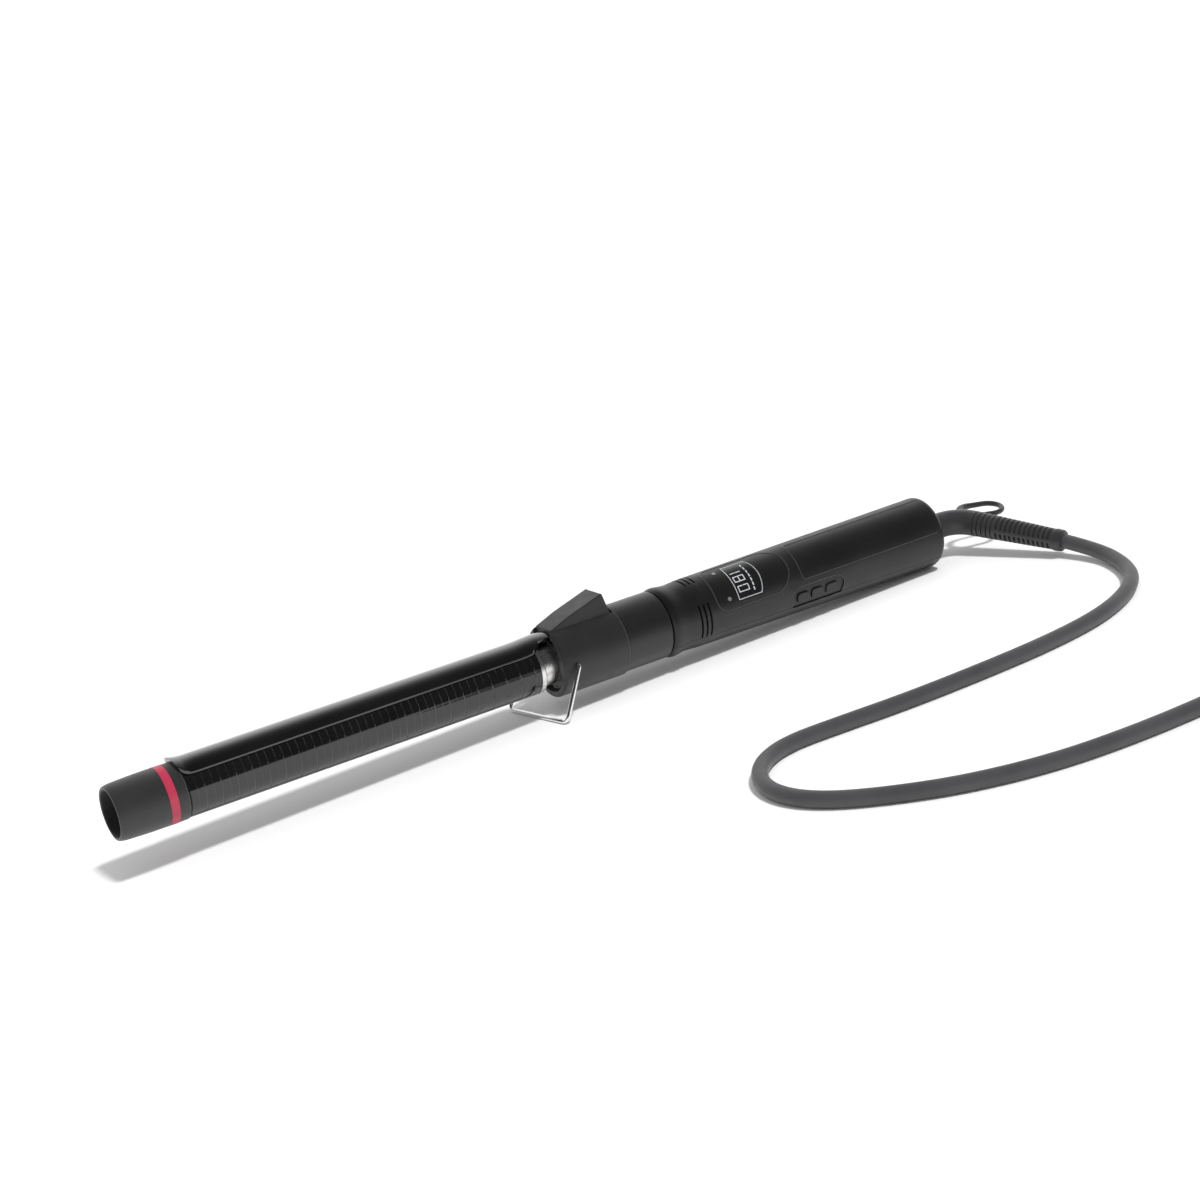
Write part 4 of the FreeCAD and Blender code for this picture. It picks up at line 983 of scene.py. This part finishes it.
def add_tie_strap(materials):
    """Woven strap once round the coil, with its rounded end pressed down over its outer side."""
    inner, outer = STRAP_RADII
    low, high = STRAP_HEIGHTS
    bend = STRAP_BEND_R
    around = plan_corners((outer - bend, low + bend, bend, 270), (outer - bend, high - bend, bend, 0),
                          (inner + bend, high - bend, bend, 90), (inner + bend, low + bend, bend, 180))
    parts = [lofted(strap_rings(around, [1.0] * len(around), True), closed_way=True)]
    lap = [(outer + STRAP_LAP, height) for height in LAP_HEIGHTS]
    lap += plan_corner(outer - bend, high - bend, bend + STRAP_LAP, 0)
    lap += [(radius, high + lift) for radius, lift in LAP_TOP]
    widths = LAP_END_WIDTHS + [1.0] * (len(lap) - len(LAP_END_WIDTHS))
    parts.append(lofted(strap_rings(lap, widths, False)))
    strap = new_piece("tie_strap", joined_parts(parts), materials["tie"], "cord_swivel",
                      smooth=False)
    crease(strap, STRAP_EDGE_R)
    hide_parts("cord_tie")
    return strap


# The plug's rear end in metres. The plug's places are counted from it, in millimetres.
PLUG_REAR = Vector((0.3220, -0.3300, 0.0072))
PLUG_FACE_X = -36.0
PLUG_WIDTHS = ((-36.0, 17.4), (-30.0, 17.5), (-18.0, 12.5), (0.0, 8.3))
PLUG_HEIGHTS = ((-36.0, 6.8), (-24.0, 6.8), (0.0, 5.7))
PLUG_SMOOTH_X = (-33.0, -31.0, -29.0, -27.0, -25.0, -23.0, -21.0, -19.0)
PLUG_GRIPS = (-17.0, -13.8, -10.6, -7.4, -4.2)
PLUG_GRIP_PROFILE = ((-0.8, 0.0), (-0.45, 0.6), (0.45, 0.6), (0.8, 0.0))
PLUG_SECTORS = 64
PLUG_SQUARENESS = 4.5
PLUG_EDGE = ((0.0, 1.3), (0.25, 0.55), (0.7, 0.15), (1.3, 0.0))

# The boot starts inside the plug
BOOT_START_X = -0.6
BOOT_LENGTH = 12.0
BOOT_R = (5.2, 4.2)
BOOT_EDGE = (0.4, 0.35)
BOOT_GROOVE_X = (2.0, 4.6, 7.2, 9.8)
BOOT_GROOVE_ACROSS = (-0.1, 0.05, 0.12, 0.78, 0.85, 1.0)
BOOT_GROOVE_R = 3.75
BOOT_GROOVE_LIP = 0.15
BOOT_SECTORS = 48


def eased(x, stops):
    """A value between stops of (place, value), eased in and out at each."""
    for (xa, a), (xb, b) in zip(stops, stops[1:]):
        if x <= xb:
            share = (x - xa) / (xb - xa)
            return a + (b - a) * share * share * (3 - 2 * share)
    return stops[-1][1]


def squared(share):
    """A sine or cosine pushed outwards, so that an oval's section is nearly a rounded rectangle."""
    return math.copysign(abs(share) ** (2 / PLUG_SQUARENESS), share)


def plug_stations():
    """Stations along the plug, and how far its section draws in there at its ends and grip grooves."""
    stations = [(PLUG_FACE_X + x, inset) for x, inset in PLUG_EDGE]
    stations += [(x, 0.0) for x in PLUG_SMOOTH_X]
    for middle in PLUG_GRIPS:
        stations += [(middle + x, inset) for x, inset in PLUG_GRIP_PROFILE]
    return stations + [(-x, inset) for x, inset in reversed(PLUG_EDGE)]


def add_plug(materials):
    """Flat two-pin plug with a waisted, grooved grip."""
    rings = []
    for x, inset in plug_stations():
        wide = eased(x, PLUG_WIDTHS) - inset
        high = eased(x, PLUG_HEIGHTS) - inset
        ring = []
        for i in range(PLUG_SECTORS):
            angle = 2 * math.pi * i / PLUG_SECTORS
            point = Vector((x, squared(math.cos(angle)) * wide, squared(math.sin(angle)) * high))
            ring.append(PLUG_REAR + FRAME_SHIFT + point * MM)
        rings.append(ring)
    plug = new_piece("mains_plug", lofted(rings), materials["plug"], "cord_swivel")
    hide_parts("plug_body")
    return plug


def add_plug_boot(materials):
    """Ringed boot behind the plug, tapered and hollowed for the cord."""
    start_r, end_r = BOOT_R
    edge_run, edge_drop = BOOT_EDGE
    profile = [(BOOT_START_X, start_r)]
    for x in BOOT_GROOVE_X:
        outer = start_r + (end_r - start_r) * x / BOOT_LENGTH
        lip = outer - BOOT_GROOVE_LIP
        radii = (outer, lip, BOOT_GROOVE_R, BOOT_GROOVE_R, lip, outer)
        profile += [(x + across, radius) for across, radius in zip(BOOT_GROOVE_ACROSS, radii)]
    profile += [(BOOT_LENGTH - edge_run, end_r), (BOOT_LENGTH, end_r - edge_drop), (BOOT_LENGTH, CORD_HOLE_R)]
    rings = []
    for x, radius in profile:
        middle = PLUG_REAR + FRAME_SHIFT + Vector((x, 0, 0)) * MM
        rings.append(ring_around(middle, Vector((0, 1, 0)), Vector((0, 0, 1)), [radius * MM] * BOOT_SECTORS))
    boot = new_piece("mains_plug_boot", lofted(rings), materials["plug"], "cord_swivel",
                     smooth=False)
    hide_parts("plug_boot")
    return boot


# ------------------------ raised edges on the handle

BEAD_R = 0.2
BEAD_SPACING = 1.5
BEAD_SECTORS = 10

# Plans laid over the grip: front and rear places, half width, and corner radii
PANEL_PLAN = (266.8, 305.4, 10.7, 4.5, 9.4)
PAD_PLAN = (304.0, 331.4, 5.0, 4.6)
PAD_FOOT_INSET = 0.6
PAD_TURN = 65.3
PAD_LIFT = -0.05
COVER_PLAN = (310.2, 384.0, 9.3, 1.8)


def spread(plan, closed):
    """Places added on the long runs of a plan, so that a line over them follows the round handle."""
    pairs = list(zip(plan, plan[1:]))
    if closed:
        pairs.append((plan[-1], plan[0]))
    places = []
    for (xa, ya), (xb, yb) in pairs:
        parts = max(int(math.hypot(xb - xa, yb - ya) / BEAD_SPACING), 1)
        places += [(xa + (xb - xa) * i / parts, ya + (yb - ya) * i / parts) for i in range(parts)]
    return places if closed else places + [plan[-1]]


def add_bead(name, plan, turn, lift, closed, material):
    """A fine raised line along the edge of an inlaid part, paler than the handle as painted highlight."""
    places = [(x, turn - arc_angle(y, x)) for x, y in spread(plan, closed)]
    points = [on_handle(x, angle, lift) for x, angle in places]
    rings = []
    for i, (x, angle) in enumerate(places):
        before, after = neighbours(points, i, closed)
        outwards = (on_handle(x, angle, lift + 1) - points[i]).normalized()
        across = (after - before).normalized().cross(outwards)
        rings.append(ring_around(points[i], outwards, across, [BEAD_R * MM] * BEAD_SECTORS))
    new_piece(name, lofted(rings, closed_way=closed), material, "iron")


def add_beads(materials):
    """Fine raised edges round the display panel, the button pad and the rear cover, their paler tone a painted
    highlight along those edges.
    """
    x0, x1, half, front, rear = PANEL_PLAN
    panel = plan_corners((x1 - rear, half - rear, rear, 0), (x0 + front, half - front, front, 90),
                         (x0 + front, front - half, front, 180), (x1 - rear, rear - half, rear, 270))
    add_bead("panel_edge", panel, 0, 0, True, materials["bead"])
    x0, x1, half, corner = PAD_PLAN
    pad = plan_corners((x1 - corner, half - corner, corner, 0), (x0 + corner, half - corner, corner, 90))
    pad += [(x0 + PAD_FOOT_INSET, -half), (x1 - PAD_FOOT_INSET, -half)]
    add_bead("pad_edge", pad, PAD_TURN, PAD_LIFT, True, materials["bead"])
    x0, x1, half, corner = COVER_PLAN
    cover = [(x1, half)]
    cover += plan_corners((x0 + corner, half - corner, corner, 90), (x0 + corner, corner - half, corner, 180))
    cover.append((x1, -half))
    add_bead("cover_edge", cover, 0, 0, False, materials["bead"])


# ------------------------ floor and light

FLOOR_HALF = 60.0
SUN_FROM = Vector((0.15, -0.5, 1.0))
SUN_STRENGTH = 2.4
SUN_ANGLE = 8.0
FILL_STRENGTH = 0.62
SEEN_STRENGTH = 1.05

# The mirrored backdrop stands on the far side, and fades out sideways and upwards
FAR_SIDE = Vector((0.466, 0.885, 0.0))
BACKDROP_SIDES = (0.1, 0.85)
BACKDROP_HEIGHTS = (0.5, 0.97)
BACKDROP_TOP = 0.12
BACKDROP_STRENGTH = 1.25
ROOM_STRENGTH = 0.05


def add_floor():
    size = FLOOR_HALF
    corners = [(-size, -size, 0), (size, -size, 0), (size, size, 0), (-size, size, 0)]
    mesh = bpy.data.meshes.new("floor")
    mesh.from_pydata(corners, [], [(0, 1, 2, 3)])
    floor = new_object("floor", mesh)
    material, tree, shader = new_material("pale_floor")
    place = place_of(tree)
    tone = noise_of(tree, place, 3.0, 2.0)
    tree.links.new(ramp_of(tree, tone, 0.9, 0.92), shader.inputs["Base Color"])
    shader.inputs["Roughness"].default_value = 0.9
    shader.inputs["Specular IOR Level"].default_value = 0.1
    give(floor, material)


def add_sun():
    """The key light, soft-edged. It lights and casts shadows but isn't mirrored in the glossy parts."""
    light = bpy.data.lights.new("key", "SUN")
    light.energy = SUN_STRENGTH
    light.angle = math.radians(SUN_ANGLE)
    lamp = new_object("key", light)
    lamp.rotation_euler = SUN_FROM.to_track_quat("Z", "Y").to_euler()
    lamp.visible_glossy = False


def ramp_between(tree, value, start, end, low, high):
    """A number that eases from low to high as a value goes from start to end."""
    span = tree.nodes.new("ShaderNodeMapRange")
    span.interpolation_type = "SMOOTHSTEP"
    for socket, number in (("From Min", start), ("From Max", end), ("To Min", low), ("To Max", high)):
        span.inputs[socket].default_value = number
    tree.links.new(value, span.inputs["Value"])
    return span.outputs["Result"]


def add_world():
    """White to the eye and as fill; mirrored, a bright backdrop behind the iron and a dark room around it."""
    world = bpy.data.worlds.new("studio")
    bpy.context.scene.world = world
    world.use_nodes = True
    tree = world.node_tree
    path = tree.nodes.new("ShaderNodeLightPath")
    fill = tree.nodes["Background"]
    fill.inputs["Color"].default_value = (1, 1, 1, 1)
    seen = path.outputs["Is Camera Ray"]
    brightness = ramp_between(tree, seen, 0.0, 1.0, FILL_STRENGTH, SEEN_STRENGTH)
    tree.links.new(brightness, fill.inputs["Strength"])
    way = tree.nodes.new("ShaderNodeTexCoord").outputs["Generated"]
    dot = tree.nodes.new("ShaderNodeVectorMath")
    dot.operation = "DOT_PRODUCT"
    dot.inputs[1].default_value = FAR_SIDE
    tree.links.new(way, dot.inputs[0])
    parts = tree.nodes.new("ShaderNodeSeparateXYZ")
    tree.links.new(way, parts.inputs["Vector"])
    behind = ramp_between(tree, dot.outputs["Value"], *BACKDROP_SIDES, 0.0, 1.0)
    low_down = ramp_between(tree, parts.outputs["Z"], *BACKDROP_HEIGHTS, 1.0, BACKDROP_TOP)
    backdrop = math_of(tree, "MULTIPLY", behind, low_down)
    mirrored = math_of(tree, "MULTIPLY", backdrop, BACKDROP_STRENGTH)
    strength = math_of(tree, "ADD", mirrored, ROOM_STRENGTH)
    room = tree.nodes.new("ShaderNodeBackground")
    room.inputs["Color"].default_value = (1, 1, 1, 1)
    tree.links.new(strength, room.inputs["Strength"])
    mix = tree.nodes.new("ShaderNodeMixShader")
    tree.links.new(path.outputs["Is Glossy Ray"], mix.inputs["Fac"])
    tree.links.new(fill.outputs["Background"], mix.inputs[1])
    tree.links.new(room.outputs["Background"], mix.inputs[2])
    tree.links.new(mix.outputs["Shader"], tree.nodes["World Output"].inputs["Surface"])


def add_studio():
    add_floor()
    add_world()
    add_sun()
    bpy.context.scene.view_settings.view_transform = "Standard"


# ------------------------ assembly

def main():
    add_camera()
    materials = make_materials()
    cord = add_cord(materials)
    add_strain_relief(materials)
    add_clip_blade(materials)
    add_stand_wire(materials)
    add_display_segments(materials)
    add_window_bezel(materials)
    add_hang_loop(materials)
    strap = add_tie_strap(materials)
    plug = [add_plug(materials), add_plug_boot(materials)]
    add_beads(materials)
    for material, names in MATERIAL_NODES.items():
        for name in names:
            give(frame["nodes"][name], materials[material])
    add_studio()


main()
